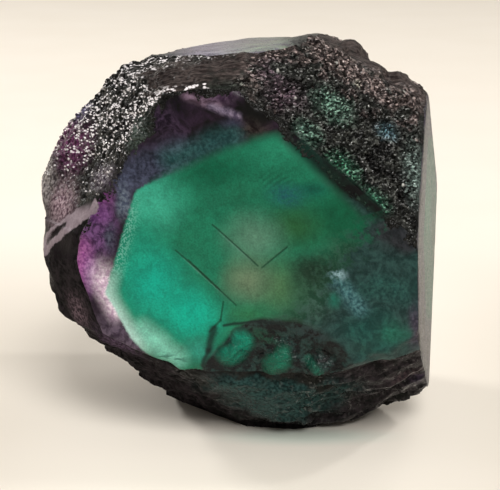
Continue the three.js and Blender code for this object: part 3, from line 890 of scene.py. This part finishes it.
def domes_over(n, soft, veins, colour):
    """The clear green domes of the bite, each in a dark outline, and the dark crease beside the first."""
    wisp = veins["wisp"]
    crease = [((-0.2, -4.9), (-0.5, -6.6), 0.45), ((-0.5, -6.6), (-0.9, -8.0), 0.3)]
    crease += [((0.4, -7.9), (2.0, -7.8), 0.25), ((0.6, -4.7), (5.4, -4.3), 0.2)]
    for start, end, width in crease:
        colour = n.mix(n.times(streak(n, soft, start, end, width, 0.1), 0.85), colour, tone(20, 38, 38))
    # Each dome is a wide lobe and a high one, and is darker between its wisps.
    shade = 0.6
    domes = [
        (tone(22, 128, 104), ((1.1, -6.9), (1.4, 1.1)), ((1.9, -5.9), (1.1, 1.2))),
        (tone(34, 108, 86), ((4.3, -7.7), (1.3, 1.2)), ((4.9, -7.2), (1.0, 1.7))),
    ]
    for green, wide_lobe, high_lobe in domes:
        mask = n.math("MAXIMUM", patch(n, soft, *wide_lobe, 0.35), patch(n, soft, *high_lobe, 0.35))
        ring = n.times(n.ramp(mask, 0.0, 0.25), 0.55)
        shaded = n.mix(wisp, tuple(share * shade for share in green[:3]) + (1.0,), green)
        colour = n.mix(mask, n.mix(ring, colour, tone(17, 26, 26)), shaded)
    tooth = streak(n, soft, (6.9, -7.1), (7.7, -8.2), 0.6, 0.1)
    return n.mix(tooth, colour, n.mix(wisp, tone(30, 66, 56), tone(42, 96, 80)))


# The corners of the heart, where its sharp edge runs behind the front face.
HEART_RING = [
    (-5.9, 5.2), (1.0, 8.5), (4.3, 9.6), (11.3, 3.2), (6.3, -4.2), (-0.9, -8.9), (-3.1, -8.6), (-5.7, -6.9),
    (-8.3, -2.7),
]


def wedge_colour(n, at, veins):
    """The dark wedge: teal at its narrow upper end, and near black at its wide lower end."""
    down = n.ramp(n.along(at, (1.0, 0.0, 0.0)), 4.4, 7.6)
    return n.mix(down, tone(28, 48, 42), n.mix(veins["cloud"], tone(19, 27, 23), tone(30, 41, 36)))


def front_colour(n, at, veins):
    """The front face: the heart behind its sharp edge, and violet, slate and teal clouds round it."""
    places = (at, veins["soft"], veins["loose"])
    plain, soft, loose = (laid_flat(n, point, ACROSS_FRONT, UP_FRONT) for point in places)
    hackle = n.ramp(n.noise(soft, 0.55, 37.0, detail=3.0, roughness=0.65), 0.4, 0.62)
    beyond = n.ramp(n.along(soft, (0.85, -0.53, 0.0)), 4.6, 5.4)
    left, right = left_of_heart(n, plain, soft, loose, veins), right_of_heart(n, soft, loose, veins, hackle)
    outside = n.mix(beyond, left, right)
    fuzz = n.times(n.minus(veins["grain"], 0.5), 0.2)
    drift = n.times(n.minus(veins["drift"], 0.5), 0.35)
    past = n.plus(past_ring(n, plain, HEART_RING), drift)
    mottling = n.plus(0.76, n.times(veins["wisp"], 0.28), n.times(veins["fine"], 0.14))
    outside = n.scaled(outside, mottling)
    # Between the heart and the right crust lies a dark wedge, and the heart's right corner reaches past it.
    wedge = streak(n, soft, (6.8, 8.4), (11.9, 4.9), 1.5, 0.5)
    outside = n.mix(wedge, outside, wedge_colour(n, at, veins))
    corner = streak(n, plain, (9.6, 2.9), (12.2, 3.7), 0.75, 0.75)
    # The edge of the heart is crisp below and hazy above, and it frays into mottles on the lower right.
    fuzzy = n.plus(past, fuzz)
    crisp, hazy = n.ramp(fuzzy, 0.14, -0.14), n.ramp(fuzzy, 0.5, -0.45)
    high = n.ramp(n.along(plain, (0.3, 0.95, 0.0)), 3.6, 6.0)
    inside = n.math("MAXIMUM", n.mix(high, crisp, hazy), corner)
    mottled = n.plus(past, n.times(n.minus(hackle, 0.5), 1.6))
    lower_right = n.ramp(n.along(plain, (0.4, -0.9, 0.0)), 0.4, 1.8)
    lower_right = n.times(lower_right, n.ramp(n.along(plain, (1.0, 0.0, 0.0)), 3.4, 5.0))
    inside = n.mix(lower_right, inside, n.ramp(mottled, 1.0, -1.2))
    front = n.mix(inside, outside, heart_colour(n, plain, soft, veins, hackle, past))
    bitten = patch(n, soft, on_front(BITE_CENTRE), (BITE_RADIUS, BITE_RADIUS), 0.93)
    front = n.mix(bitten, front, bite_colour(n, soft, veins, hackle))
    front = domes_over(n, soft, veins, front)
    # A brown line with pale flecks runs along the foot of the smooth face on the right.
    rim = streak(n, plain, (10.2, -8.2), (15.4, -6.3), 0.32, 0.3)
    return n.mix(n.times(rim, 0.8), front, n.mix(veins["fine"], tone(44, 36, 38), tone(112, 98, 92)))


def with_pale_band(n, at, fine, colour):
    """A colour with the pale lilac band laid over it, and the dark hollow in the band."""
    frayed = n.shaken(at, 0.5, 35.0, reach=0.5)
    band = n.mix(n.noise(frayed, 0.8, 36.0), seen(112, 98, 106), seen(166, 154, 162))
    band = n.mix(n.times(fine, 0.3), band, seen(98, 84, 92))
    band = n.mix(streak(n, frayed, *LENS_HOLLOW, 0.38, 0.35), band, seen(22, 16, 20))
    on_its_faces = n.ramp(depth_under(n, at, "small left bevel", "front cube face"), 0.6, 0.4)
    mask = n.times(streak(n, frayed, *PALE_BAND, PALE_BAND_WIDTH + 0.12, 0.8), on_its_faces)
    return n.mix(mask, colour, band)


def crust_colour(n, veins):
    """The crust of the etched faces: near black, violet and lilac on the left, and green on the right."""
    soft, cloud, fine = veins["soft"], veins["cloud"], veins["fine"]
    pale_line = n.mix(fine, seen(50, 46, 40), seen(150, 146, 134))
    return layered(n, n.mix(cloud, seen(5, 5, 5), seen(29, 30, 28)), [
        spot(n, soft, fine, (24, 42, 35), (58, 78, 68), (6.8, -7.8, 11.6), (2.6, 2.6, 2.2)),
        spot(n, soft, fine, (12, 40, 30), (40, 74, 57), (7.4, -11.9, 7.9), (2.2, 2.2, 2.2)),
        spot(n, soft, fine, (14, 46, 35), (46, 84, 66), (9.6, -12.7, 5.8), (2.1, 1.8, 2.0)),
        spot(n, soft, fine, (26, 44, 38), (58, 78, 68), (4.9, -11.2, 10.3), (1.7, 1.8, 1.9)),
        spot(n, soft, fine, (22, 42, 42), (50, 66, 74), (10.9, -7.0, 9.6), (1.5, 1.7, 1.2)),
        spot(n, soft, fine, (22, 15, 20), (52, 42, 48), (3.2, -9.2, 12.7), (2.6, 2.6, 2.6)),
        spot(n, soft, fine, (30, 38, 36), (70, 82, 78), (13.0, -9.0, 7.0), (1.6, 5.0, 4.0)),
        (patch(n, soft, (7.4, -6.3, 12.6), (1.6, 1.4, 1.2), 0.0), seen(6, 6, 5)),
        (patch(n, soft, (10.0, -6.5, 10.7), (1.2, 1.2, 0.9), 0.0), seen(6, 6, 5)),
        (patch(n, soft, (11.9, -4.8, 11.3), (1.5, 1.4, 1.2), 0.0), seen(8, 7, 6)),
        (streak(n, soft, (8.4, -1.9, 15.3), (8.9, -4.8, 13.0), 0.55), pale_line),
        spot(n, soft, fine, (54, 20, 46), (106, 56, 94), (-12.4, -3.2, 7.6), (3.6, 4.0, 3.2), 0.1),
        spot(n, soft, fine, (44, 40, 62), (82, 78, 104), (-12.2, -2.6, 10.2), (1.6, 1.8, 1.4)),
        spot(n, soft, fine, (98, 72, 86), (158, 138, 146), (-13.4, -5.4, 3.6), (2.8, 3.4, 3.0)),
        spot(n, soft, fine, (92, 84, 86), (158, 152, 152), (-15.0, -2.6, 4.5), (1.6, 2.4, 3.6)),
        spot(n, soft, fine, (60, 50, 62), (116, 108, 118), (-10.0, -8.4, 6.4), (2.2, 2.2, 1.6)),
        spot(n, soft, fine, (34, 44, 40), (74, 86, 80), (-7.4, -9.8, 9.8), (1.4, 2.2, 2.6)),
        spot(n, soft, fine, (42, 22, 48), (86, 56, 92), (0.0, 12.0, 9.0), (7.0, 5.0, 4.0), 0.2),
        spot(n, soft, fine, (14, 44, 36), (42, 78, 64), (-11.5, 8.0, -2.0), (5.0, 5.0, 5.0), 0.2),
    ])


def new_finish(name):
    """A bare material, and what its nodes read: the place of each point before its grain was raised."""
    material = bpy.data.materials.new(name)
    material.use_nodes = True
    material.node_tree.nodes.clear()
    n = Nodes(material.node_tree)
    return material, n, stored(n, "carved place", "Vector")


def bumped(n, height):
    """The way that the surface looks once it is raised by a height in millimetres."""
    return n.add("ShaderNodeBump", {"Height": height, "Distance": MM, "Strength": 1.0}).outputs[0]


def clear_body(n, surface):
    """Joins a surface to the clear green body under it."""
    depth = n.add("ShaderNodeVolumeAbsorption", {"Color": (0.35, 0.85, 0.75, 1.0), "Density": 90.0})
    output = n.add("ShaderNodeOutputMaterial")
    n.tree.links.new(surface.outputs[0], output.inputs["Surface"])
    n.tree.links.new(depth.outputs[0], output.inputs["Volume"])


def window_finish():
    """The front face: smooth and satin, with the crust creeping over its rim, and broken in the bite."""
    material, n, at = new_finish("fluorite window")
    veins = veins_at(n, at)
    creep = n.plus(*(stored(n, kind) for kind in ("pebbled", "cornered", "striated")))
    frayed = n.times(n.minus(veins["fine"], 0.5), 0.6)
    creep = n.ramp(n.plus(creep, frayed), 0.35, 0.65)
    colour = n.mix(creep, front_colour(n, at, veins), crust_colour(n, veins))
    colour = with_pale_band(n, at, veins["fine"], colour)
    colour = n.scaled(colour, n.plus(0.74, n.times(veins["grain"], 0.52)))
    shelly = stored(n, "shelly")
    ripple = n.times(n.noise(at, 0.4, 57.0, roughness=0.6), shelly, 0.25)
    crumbs = n.times(veins["fine"], creep, 0.12)
    height = n.plus(n.times(veins["grain"], 0.008), ripple, crumbs)
    dull = n.times(streak(n, at, *DARK_WEDGE, 1.6, 0.4), 0.5)
    surface = n.add("ShaderNodeBsdfPrincipled", {
        "Base Color": colour,
        "Roughness": n.plus(n.minus(0.38, n.times(creep, 0.14)), dull),
        "IOR": FLUORITE_IOR,
        "Specular IOR Level": 0.22,
        "Transmission Weight": 0.2,
        "Normal": bumped(n, height),
    })
    clear_body(n, surface)
    return material


def ridge_colour(n, veins, striae):
    """The drawn stone above the front face: brown, violet in its middle, and darker along its foot."""
    soft = veins["soft"]
    return layered(n, n.mix(n.ramp(striae, 0.34, 0.66), seen(32, 26, 26), seen(70, 62, 60)), [
        spot(n, soft, striae, (34, 24, 34), (84, 70, 84), (3.0, -9.0, 14.6), (2.8, 3.2, 1.8)),
        spot(n, soft, veins["fine"], (16, 19, 17), (38, 42, 38), (-1.2, -10.4, 13.4), (4.6, 2.2, 1.4)),
    ])


def break_colour(n, veins):
    """The broken foot: near black, with teal glass in front and violet specks at its left and right ends."""
    soft, wisp, fine = veins["soft"], veins["wisp"], veins["fine"]
    cloudy = n.times(n.plus(veins["cloud"], fine), 0.5)
    return layered(n, n.mix(wisp, seen(12, 11, 12), seen(42, 37, 40)), [
        spot(n, soft, cloudy, (14, 34, 34), (42, 68, 66), (2.8, -10.0, -10.4), (8.0, 5.0, 4.6), 0.5),
        spot(n, soft, fine, (42, 30, 44), (80, 66, 84), (-9.2, -9.6, -6.0), (3.6, 3.0, 2.6)),
        spot(n, soft, fine, (34, 24, 32), (102, 86, 94), (-12.7, -8.4, -4.2), (2.2, 2.2, 2.4), 0.1),
        spot(n, soft, wisp, (10, 9, 9), (34, 31, 32), (-2.4, -8.6, -11.0), (2.4, 2.8, 2.4), 0.2),
        spot(n, soft, fine, (36, 26, 34), (74, 60, 62), (12.6, -9.4, -8.8), (2.6, 2.2, 1.4)),
        spot(n, soft, wisp, (26, 22, 32), (60, 50, 66), (14.2, -7.0, -9.6), (2.2, 3.0, 1.8)),
    ])


def rough_colour(n, at, veins, striae):
    """The rough faces, which run into each other, and how far a place is on those above the front face."""
    edge_of_top = depth_under(n, at, "ridge under the top", "knob slope", "notch by the peak")
    edge_of_foot = depth_under(n, at, "lower left break", "left underside", "lower front break",
                               "lifted underside", "lower right break", "left chip")
    wobble = n.times(n.minus(veins["drift"], 0.5), 5.0)
    on_top = n.ramp(n.plus(edge_of_top, wobble), 1.3, 0.3)
    on_foot = n.ramp(n.plus(edge_of_foot, n.times(wobble, 0.4)), 0.9, 0.2)
    colour = n.mix(on_top, crust_colour(n, veins), ridge_colour(n, veins, striae))
    return n.mix(on_foot, colour, break_colour(n, veins)), on_top


def grain_shade(n, chances, fine, shares):
    """How light each bump is. On the right crust, a few of the finest are far lighter than the rest, as
    painted glints.
    """
    etched = n.math("MINIMUM", n.plus(shares["pebbled"], shares["cornered"]), 1.0)
    own = n.times(n.minus(n.times(chances[0], 0.3), 0.35), etched)
    lighter = n.times(n.math("POWER", chances[1], 4.0), 8.5)
    glint_speckle = n.times(n.minus(lighter, 0.3), shares["cornered"])
    return n.plus(0.75, own, glint_speckle, n.times(fine, 0.5))


def painted_glints(n, at, soft, distance, chance, shares, on_top):
    """1 where the finest crystals get a painted glint, most of them high on the left and above the front
    face.
    """
    line = streak(n, soft, (-6.6, -9.2, 12.4), (-1.6, -10.2, 14.0), 0.8)
    thick = n.ramp(n.noise(at, 1.1, 61.0, detail=1.0), 0.38, 0.6)
    high = n.ramp(n.along(soft, (0.0, 0.0, 1.0)), 3.6, 8.6)
    often = n.times(n.math("POWER", shares["pebbled"], 2.0), n.plus(0.04, n.times(high, 0.06)))
    often = n.times(n.plus(often, n.times(thick, high, 0.4)), shares["pebbled"])
    often = n.plus(often, n.times(line, 0.3))
    flecks = n.times(n.ramp(n.plus(chance, often), 0.98, 1.02), n.ramp(distance, 0.75, 0.4))
    etched = n.times(n.plus(shares["pebbled"], n.times(shares["cornered"], 0.5)), n.minus(1.0, on_top))
    return n.times(flecks, n.math("MINIMUM", n.plus(etched, line), 0.9))


def crust_height(n, cell, finer, shares, striae, grain):
    """The bumps of the mesh again, sharper, with finer ones between them, and the striae."""
    patterns = {
        "pebbled": [(cell, "domes", 0.07), (finer, "domes", 0.045)],
        "crenulated": [(cell, "domes", 0.08), (finer, "domes", 0.06)],
        "cornered": [(cell, "crystals", 0.07), (finer, "crystals", 0.06)],
    }
    heights = [n.times(grain, 0.01)]
    for kind, layers in patterns.items():
        for bump_cell, pattern, height in layers:
            heights.append(n.times(bumps(n, pattern, bump_cell), shares[kind], height))
    drawn_share = n.plus(shares["striated"], n.times(shares["ledged"], 0.4))
    return n.plus(*heights, n.times(striae, drawn_share, 0.08))


def crust_finish():
    """The rough faces: wet pebbles and tiny crystals where they are etched, and dull where broken."""
    material, n, at = new_finish("fluorite crust")
    veins = veins_at(n, at)
    soft, fine = veins["soft"], veins["fine"]
    shares = {kind: stored(n, kind) for kind in GRAINS}
    striae = n.noise(n.vector("MULTIPLY", soft, (0.2, 1.0, 1.0)), 0.2, 56.0)

    # The bumps of the mesh and a finer, flatter kind between them, and the chance of each from 0 to 1.
    spacing = stored(n, "grain spacing")
    cell = n.cells(at, spacing, GRAIN_SEED)
    finer = n.cells(n.vector("MULTIPLY", at, (0.85, 0.85, 1.5)), n.times(spacing, 0.45), GRAIN_SEED + 1)
    chances = [n.along(chosen[2], (1.0, 0.0, 0.0)) for chosen in (cell, finer)]

    colour, on_top = rough_colour(n, at, veins, striae)
    colour = n.scaled(colour, grain_shade(n, chances, fine, shares))
    # Painted glints: a few of the finest crystals are painted near white.
    glint_share = painted_glints(n, at, soft, finer[0], chances[1], shares, on_top)
    colour = n.mix(glint_share, colour, seen(240, 235, 238))
    # A few of the larger crystals on the right get a painted sparkle, a near white painted glint.
    rare = n.ramp(n.along(cell[2], (0.0, 1.0, 0.0)), 0.99, 0.994)
    painted_sparkle = n.times(rare, n.ramp(cell[0], 0.5, 0.1), shares["cornered"])
    colour = n.mix(painted_sparkle, colour, seen(220, 220, 214))
    wedge = streak(n, soft, *DARK_WEDGE, DARK_WEDGE_WIDTH + 0.5, 0.4)
    colour = n.mix(wedge, colour, wedge_colour(n, at, veins))
    # The small left bevel is dark under the pale band, like the chip.
    over_band = n.along(n.vector("SUBTRACT", soft, PALE_BAND[0]), (-0.18, 0.62, 0.76))
    on_bevel = n.ramp(depth_under(n, at, "small left bevel"), 0.4, 0.1)
    under_band = n.times(n.ramp(over_band, 0.1, -0.3), on_bevel)
    colour = n.mix(under_band, colour, n.mix(fine, seen(8, 6, 7), seen(24, 18, 22)))
    colour = with_pale_band(n, at, fine, colour)

    # The etched faces are glossier than the rest, and the chip and the break beside it are like velvet.
    gloss = {"pebbled": -0.1, "cornered": -0.1, "crenulated": 0.04, "shelly": -0.04, "ledged": -0.06}
    changes = [n.times(shares[kind], change) for kind, change in gloss.items()]
    velvety = n.ramp(depth_under(n, at, "left chip", "lower left break", "left underside"), 0.5, 0.0)
    roughness = n.plus(0.36, n.times(velvety, 0.5), n.times(wedge, 0.5), *changes)
    # Some bumps and splinters are wet enough to catch the lamps.
    wet_cells, wet_specks = n.ramp(chances[0], 0.5, 0.65), n.ramp(chances[1], 0.66, 0.76)
    splinters = n.ramp(n.noise(veins["loose"], 0.34, 60.0, detail=1.0), 0.6, 0.68)
    glassy = n.plus(n.times(shares["shelly"], 0.5), n.times(shares["ledged"], 0.7))
    wet = n.plus(
        n.times(shares["pebbled"], n.plus(0.02, n.times(wet_cells, 0.7))),
        n.times(shares["cornered"], n.plus(0.04, n.times(wet_specks, 0.9))),
        n.times(glassy, splinters),
    )
    normal = bumped(n, crust_height(n, cell, finer, shares, striae, veins["grain"]))
    surface = n.add("ShaderNodeBsdfPrincipled", {
        "Base Color": colour,
        "Roughness": n.times(roughness, n.plus(0.75, n.times(fine, 0.5))),
        "IOR": FLUORITE_IOR,
        "Specular IOR Level": 0.06,
        "Coat Weight": wet,
        "Coat Roughness": 0.07,
        "Coat IOR": FLUORITE_IOR,
        "Coat Normal": normal,
        "Normal": normal,
    })
    clear_body(n, surface)
    return material


def clear_finish():
    """The other smooth faces: green and violet glass on the right and behind, and a pale sliver on top."""
    material, n, at = new_finish("fluorite clear faces")
    veins = veins_at(n, at)
    soft, wisp, fine = veins["soft"], veins["wisp"], veins["fine"]
    facet_number = stored(n, "facet")

    def on(name):
        """1 on the face named."""
        return n.math("COMPARE", facet_number, float(FACE[name]), 0.5)

    def zoned(across, ring, rim, heart):
        """Glass with the green heart behind it, which ends at a ring of corners."""
        where = laid_flat(n, soft, across)
        wander = n.times(n.minus(veins["drift"], 0.5), 1.2)
        past = n.plus(past_ring(n, where, ring), wander)
        deep, clear = heart
        green = layered(n, n.mix(n.noise(veins["loose"], 3.2, 62.0), deep, clear), [
            (patch(n, where, (-3.0, 2.5), (4.0, 3.6), 0.0), clear),
            (patch(n, where, (3.4, -1.0), (3.4, 4.2), 0.0), n.mix(wisp, deep, seen(74, 96, 70))),
        ])
        violet, slate = n.mix(veins["cloud"], *rim), n.mix(fine, rim[0], seen(60, 72, 90))
        outside = n.mix(n.ramp(past, 2.4, 0.2), violet, slate)
        return n.mix(n.ramp(past, 0.45, -0.35), outside, green)

    side_ring = [(-6.5, -5.0), (-8.0, 1.5), (-2.0, 8.0), (4.5, 7.0), (8.0, 0.0), (2.0, -8.0)]
    side = zoned((0.0, 1.0, 0.0), side_ring,
                 (seen(26, 23, 33), seen(56, 46, 66)), (seen(14, 70, 56), seen(26, 112, 88)))
    upright = n.noise(n.vector("MULTIPLY", at, (1.0, 1.0, 0.12)), 0.3, 59.0)
    side = n.mix(n.times(n.ramp(upright, 0.45, 0.65), 0.35), side, seen(96, 108, 96))
    back_ring = [(-7.5, 3.5), (-1.5, 8.5), (6.0, 6.0), (9.0, -1.0), (4.5, -8.0), (-4.0, -7.0)]
    back = zoned((1.0, 0.0, 0.0), back_ring,
                 (seen(38, 24, 48), seen(84, 60, 98)), (seen(14, 100, 82), seen(40, 158, 128)))
    drawn = n.noise(n.vector("MULTIPLY", soft, (0.2, 1.0, 1.0)), 0.5, 58.0, detail=3.0)
    along = n.along(soft, (1.0, 0.0, 0.0))
    tint = n.mix(n.ramp(along, -3.0, 2.6), seen(186, 178, 196), seen(170, 186, 162))
    sliver = n.mix(n.ramp(drawn, 0.3, 0.7), seen(124, 118, 130), tint)
    sliver = n.mix(n.times(veins["cloud"], 0.4), sliver, seen(128, 118, 138))
    pale = n.times(n.ramp(along, -6.5, -3.0), n.ramp(along, 4.6, 2.4))
    sliver = n.mix(pale, n.mix(fine, seen(46, 44, 44), seen(92, 92, 88)), sliver)
    colour = layered(n, seen(40, 66, 62), [
        (on("right cube face"), side),
        (on("back cube face"), back),
        (on("top cube face"), sliver),
    ])
    height = n.plus(
        n.times(veins["grain"], 0.008),
        n.times(wisp, 0.03),
        n.times(on("right cube face"), upright, 0.12),
        n.times(on("top cube face"), drawn, 0.16),
    )
    surface = n.add("ShaderNodeBsdfPrincipled", {
        "Base Color": colour,
        "Roughness": n.plus(0.26, n.times(fine, 0.14)),
        "IOR": FLUORITE_IOR,
        "Specular IOR Level": 0.3,
        "Transmission Weight": 0.35,
        "Normal": bumped(n, height),
    })
    clear_body(n, surface)
    return material


tree, sockets = grain_tree()
modifier = crystal.modifiers.new("etched grain", "NODES")
modifier.node_group = tree
modifier[sockets["Seed"].identifier] = GRAIN_SEED
for name, finish in (("crust", crust_finish), ("clear faces", clear_finish), ("window", window_finish)):
    modifier[sockets[name].identifier] = finish()
for kind, (_, spacing, height) in GRAINS.items():
    modifier[sockets[f"{kind} spacing"].identifier] = spacing
    modifier[sockets[f"{kind} height"].identifier] = height
bpy.context.view_layer.update()
grown = bpy.data.meshes.new_from_object(crystal.evaluated_get(bpy.context.evaluated_depsgraph_get()))
crystal.modifiers.clear()
crystal.data = grown
# A face without grain is given a spacing of 1, which nothing shows.
spacings = np.array([GRAINS[kind][1] if kind in GRAINS else 1.0 for kind in GRAIN])
faces_now = np.zeros(len(grown.polygons), np.float32)
grown.attributes["facet"].data.foreach_get("value", faces_now)
grain_spacing = grown.attributes.new("grain spacing", "FLOAT", "FACE")
grain_spacing.data.foreach_set("value", spacings[faces_now.round().astype(int)].astype(np.float32))
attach(crystal, "root")
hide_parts("fluorite_crystal")

# The floor that the crystal stands on
# A sheet of warm white board, far wider than the view. It turns up gently at its rim, and it is greyer at the
# sides and in front, by painted shade.

# How far the board reaches, how far it lies flat, and how fast it turns up beyond, all in metres.
FLOOR_REACH, FLAT_REACH, TURN_UP = 0.9, 0.45, 0.9


def floor_mesh():
    """Rings of faces round the middle, narrow there and wider towards the rim."""
    rings, spokes, widening = 40, 96, 1.6
    points, faces = [(0.0, 0.0, 0.0)], []
    for ring in range(1, rings + 1):
        reach = FLOOR_REACH * (ring / rings) ** widening
        rise = TURN_UP * max(0.0, reach - FLAT_REACH) ** 2
        for spoke in range(spokes):
            turn = 2 * math.pi * spoke / spokes
            points.append((reach * math.cos(turn), reach * math.sin(turn), rise))
    for spoke in range(spokes):
        faces.append((0, 1 + spoke, 1 + (spoke + 1) % spokes))
    for ring in range(rings - 1):
        inner, outer = 1 + ring * spokes, 1 + (ring + 1) * spokes
        for spoke in range(spokes):
            following = (spoke + 1) % spokes
            faces.append((inner + spoke, outer + spoke, outer + following, inner + following))
    mesh = bpy.data.meshes.new("floor")
    mesh.from_pydata(points, [], faces)
    mesh.polygons.foreach_set("use_smooth", [True] * len(faces))
    return mesh


def board_finish():
    """Matt warm white, a little mottled, and greyer at the sides and in front by painted shade."""
    material = bpy.data.materials.new("warm white board")
    material.use_nodes = True
    n = Nodes(material.node_tree)
    place = n.add("ShaderNodeTexCoord").outputs["Object"]
    mottle = n.noise(place, 0.02, 1.0)
    colour = n.mix(mottle, seen(237, 230, 218), seen(242, 236, 226))
    forward = n.along(place, (0.0, -1.0, 0.0))
    # Painted shadow: the board is greyer beside the crystal on the left and right.
    sideways = n.math("ABSOLUTE", n.along(place, (1.0, 0.0, 0.0)))
    beside = n.times(n.ramp(sideways, 0.008, 0.04), n.ramp(forward, -0.06, -0.005))
    colour = n.mix(beside, colour, seen(198, 190, 177))
    # Painted shade: from a few centimetres in front of the crystal the board turns greyer.
    colour = n.mix(n.ramp(forward, 0.03, 0.09), colour, seen(146, 142, 135))
    # A little light comes through the crystal and lies on the board as a teal gleam.
    gleam = patch(n, place, (0.004, -0.0072, 0.0), (0.009, 0.0025, 0.01))
    colour = n.mix(n.times(gleam, 0.4), colour, seen(150, 190, 178))
    shader = material.node_tree.nodes["Principled BSDF"]
    material.node_tree.links.new(colour, shader.inputs["Base Color"])
    shader.inputs["Roughness"].default_value = 0.8
    return material


floor = bpy.data.objects.new("floor", floor_mesh())
floor.data.materials.append(board_finish())
bpy.context.scene.collection.objects.link(floor)

# The studio light
# A pale surround that is dim in front, a large lamp in front, a tube lamp on the left for the glints, and
# small lamps behind and on the right.

world = bpy.data.worlds.new("pale surround")
world.use_nodes = True
bpy.context.scene.world = world
n = Nodes(world.node_tree)
way = n.add("ShaderNodeTexCoord").outputs["Generated"]
toward_back = n.along(way, (0.0, 0.8, 0.6))
surround = n.mix(n.ramp(toward_back, -0.8, 0.5), seen(120, 118, 116), seen(255, 247, 238))
background = world.node_tree.nodes["Background"]
world.node_tree.links.new(surround, background.inputs["Color"])
background.inputs["Strength"].default_value = 0.47


def lamp(name, place, size, power, colour=(1.0, 0.98, 0.95)):
    """An area lamp, its sizes and place in metres, turned to the crystal's middle."""
    light = bpy.data.lights.new(name, "AREA")
    light.shape = "RECTANGLE"
    light.size, light.size_y = size
    light.energy, light.color = power, colour
    piece = bpy.data.objects.new(name, light)
    piece.location = place
    middle = np.array([0.0, 0.0, 0.015])
    towards = middle - np.array(place)
    turn = math.atan2(towards[1], towards[0]) - math.pi / 2
    tip = math.atan2(math.hypot(towards[0], towards[1]), -towards[2])
    piece.rotation_euler = (tip, 0.0, turn)
    bpy.context.scene.collection.objects.link(piece)


lamp("left tube", (-0.31, 0.2, 0.22), (0.08, 0.03), 0.65)
lamp("front key", (0.1, -0.4, 0.42), (0.25, 0.25), 3.0)
lamp("back light", (0.17, 0.26, 0.36), (0.16, 0.16), 0.2)
lamp("right glint", (0.3, 0.05, 0.36), (0.04, 0.04), 0.32)

# The camera, at the photograph's angle
# It looks at the crystal's centre from straight in front and a little above, from about 122 mm away.

camera_data = bpy.data.cameras.new("camera")
camera_data.lens, camera_data.sensor_width = 110.0, 36.0
camera_data.shift_x, camera_data.shift_y = 0.02, -0.026
camera_data.clip_start = 0.005
camera = bpy.data.objects.new("camera", camera_data)
elevation, reach = math.radians(15), 122.22
back = np.array([0.0, -math.cos(elevation), math.sin(elevation)])
camera.location = tuple((CENTRE + reach * back) * MM)
camera.rotation_euler = (math.radians(90) - elevation, 0.0, 0.0)
bpy.context.scene.collection.objects.link(camera)
bpy.context.scene.camera = camera
bpy.context.scene.view_settings.view_transform = "Standard"
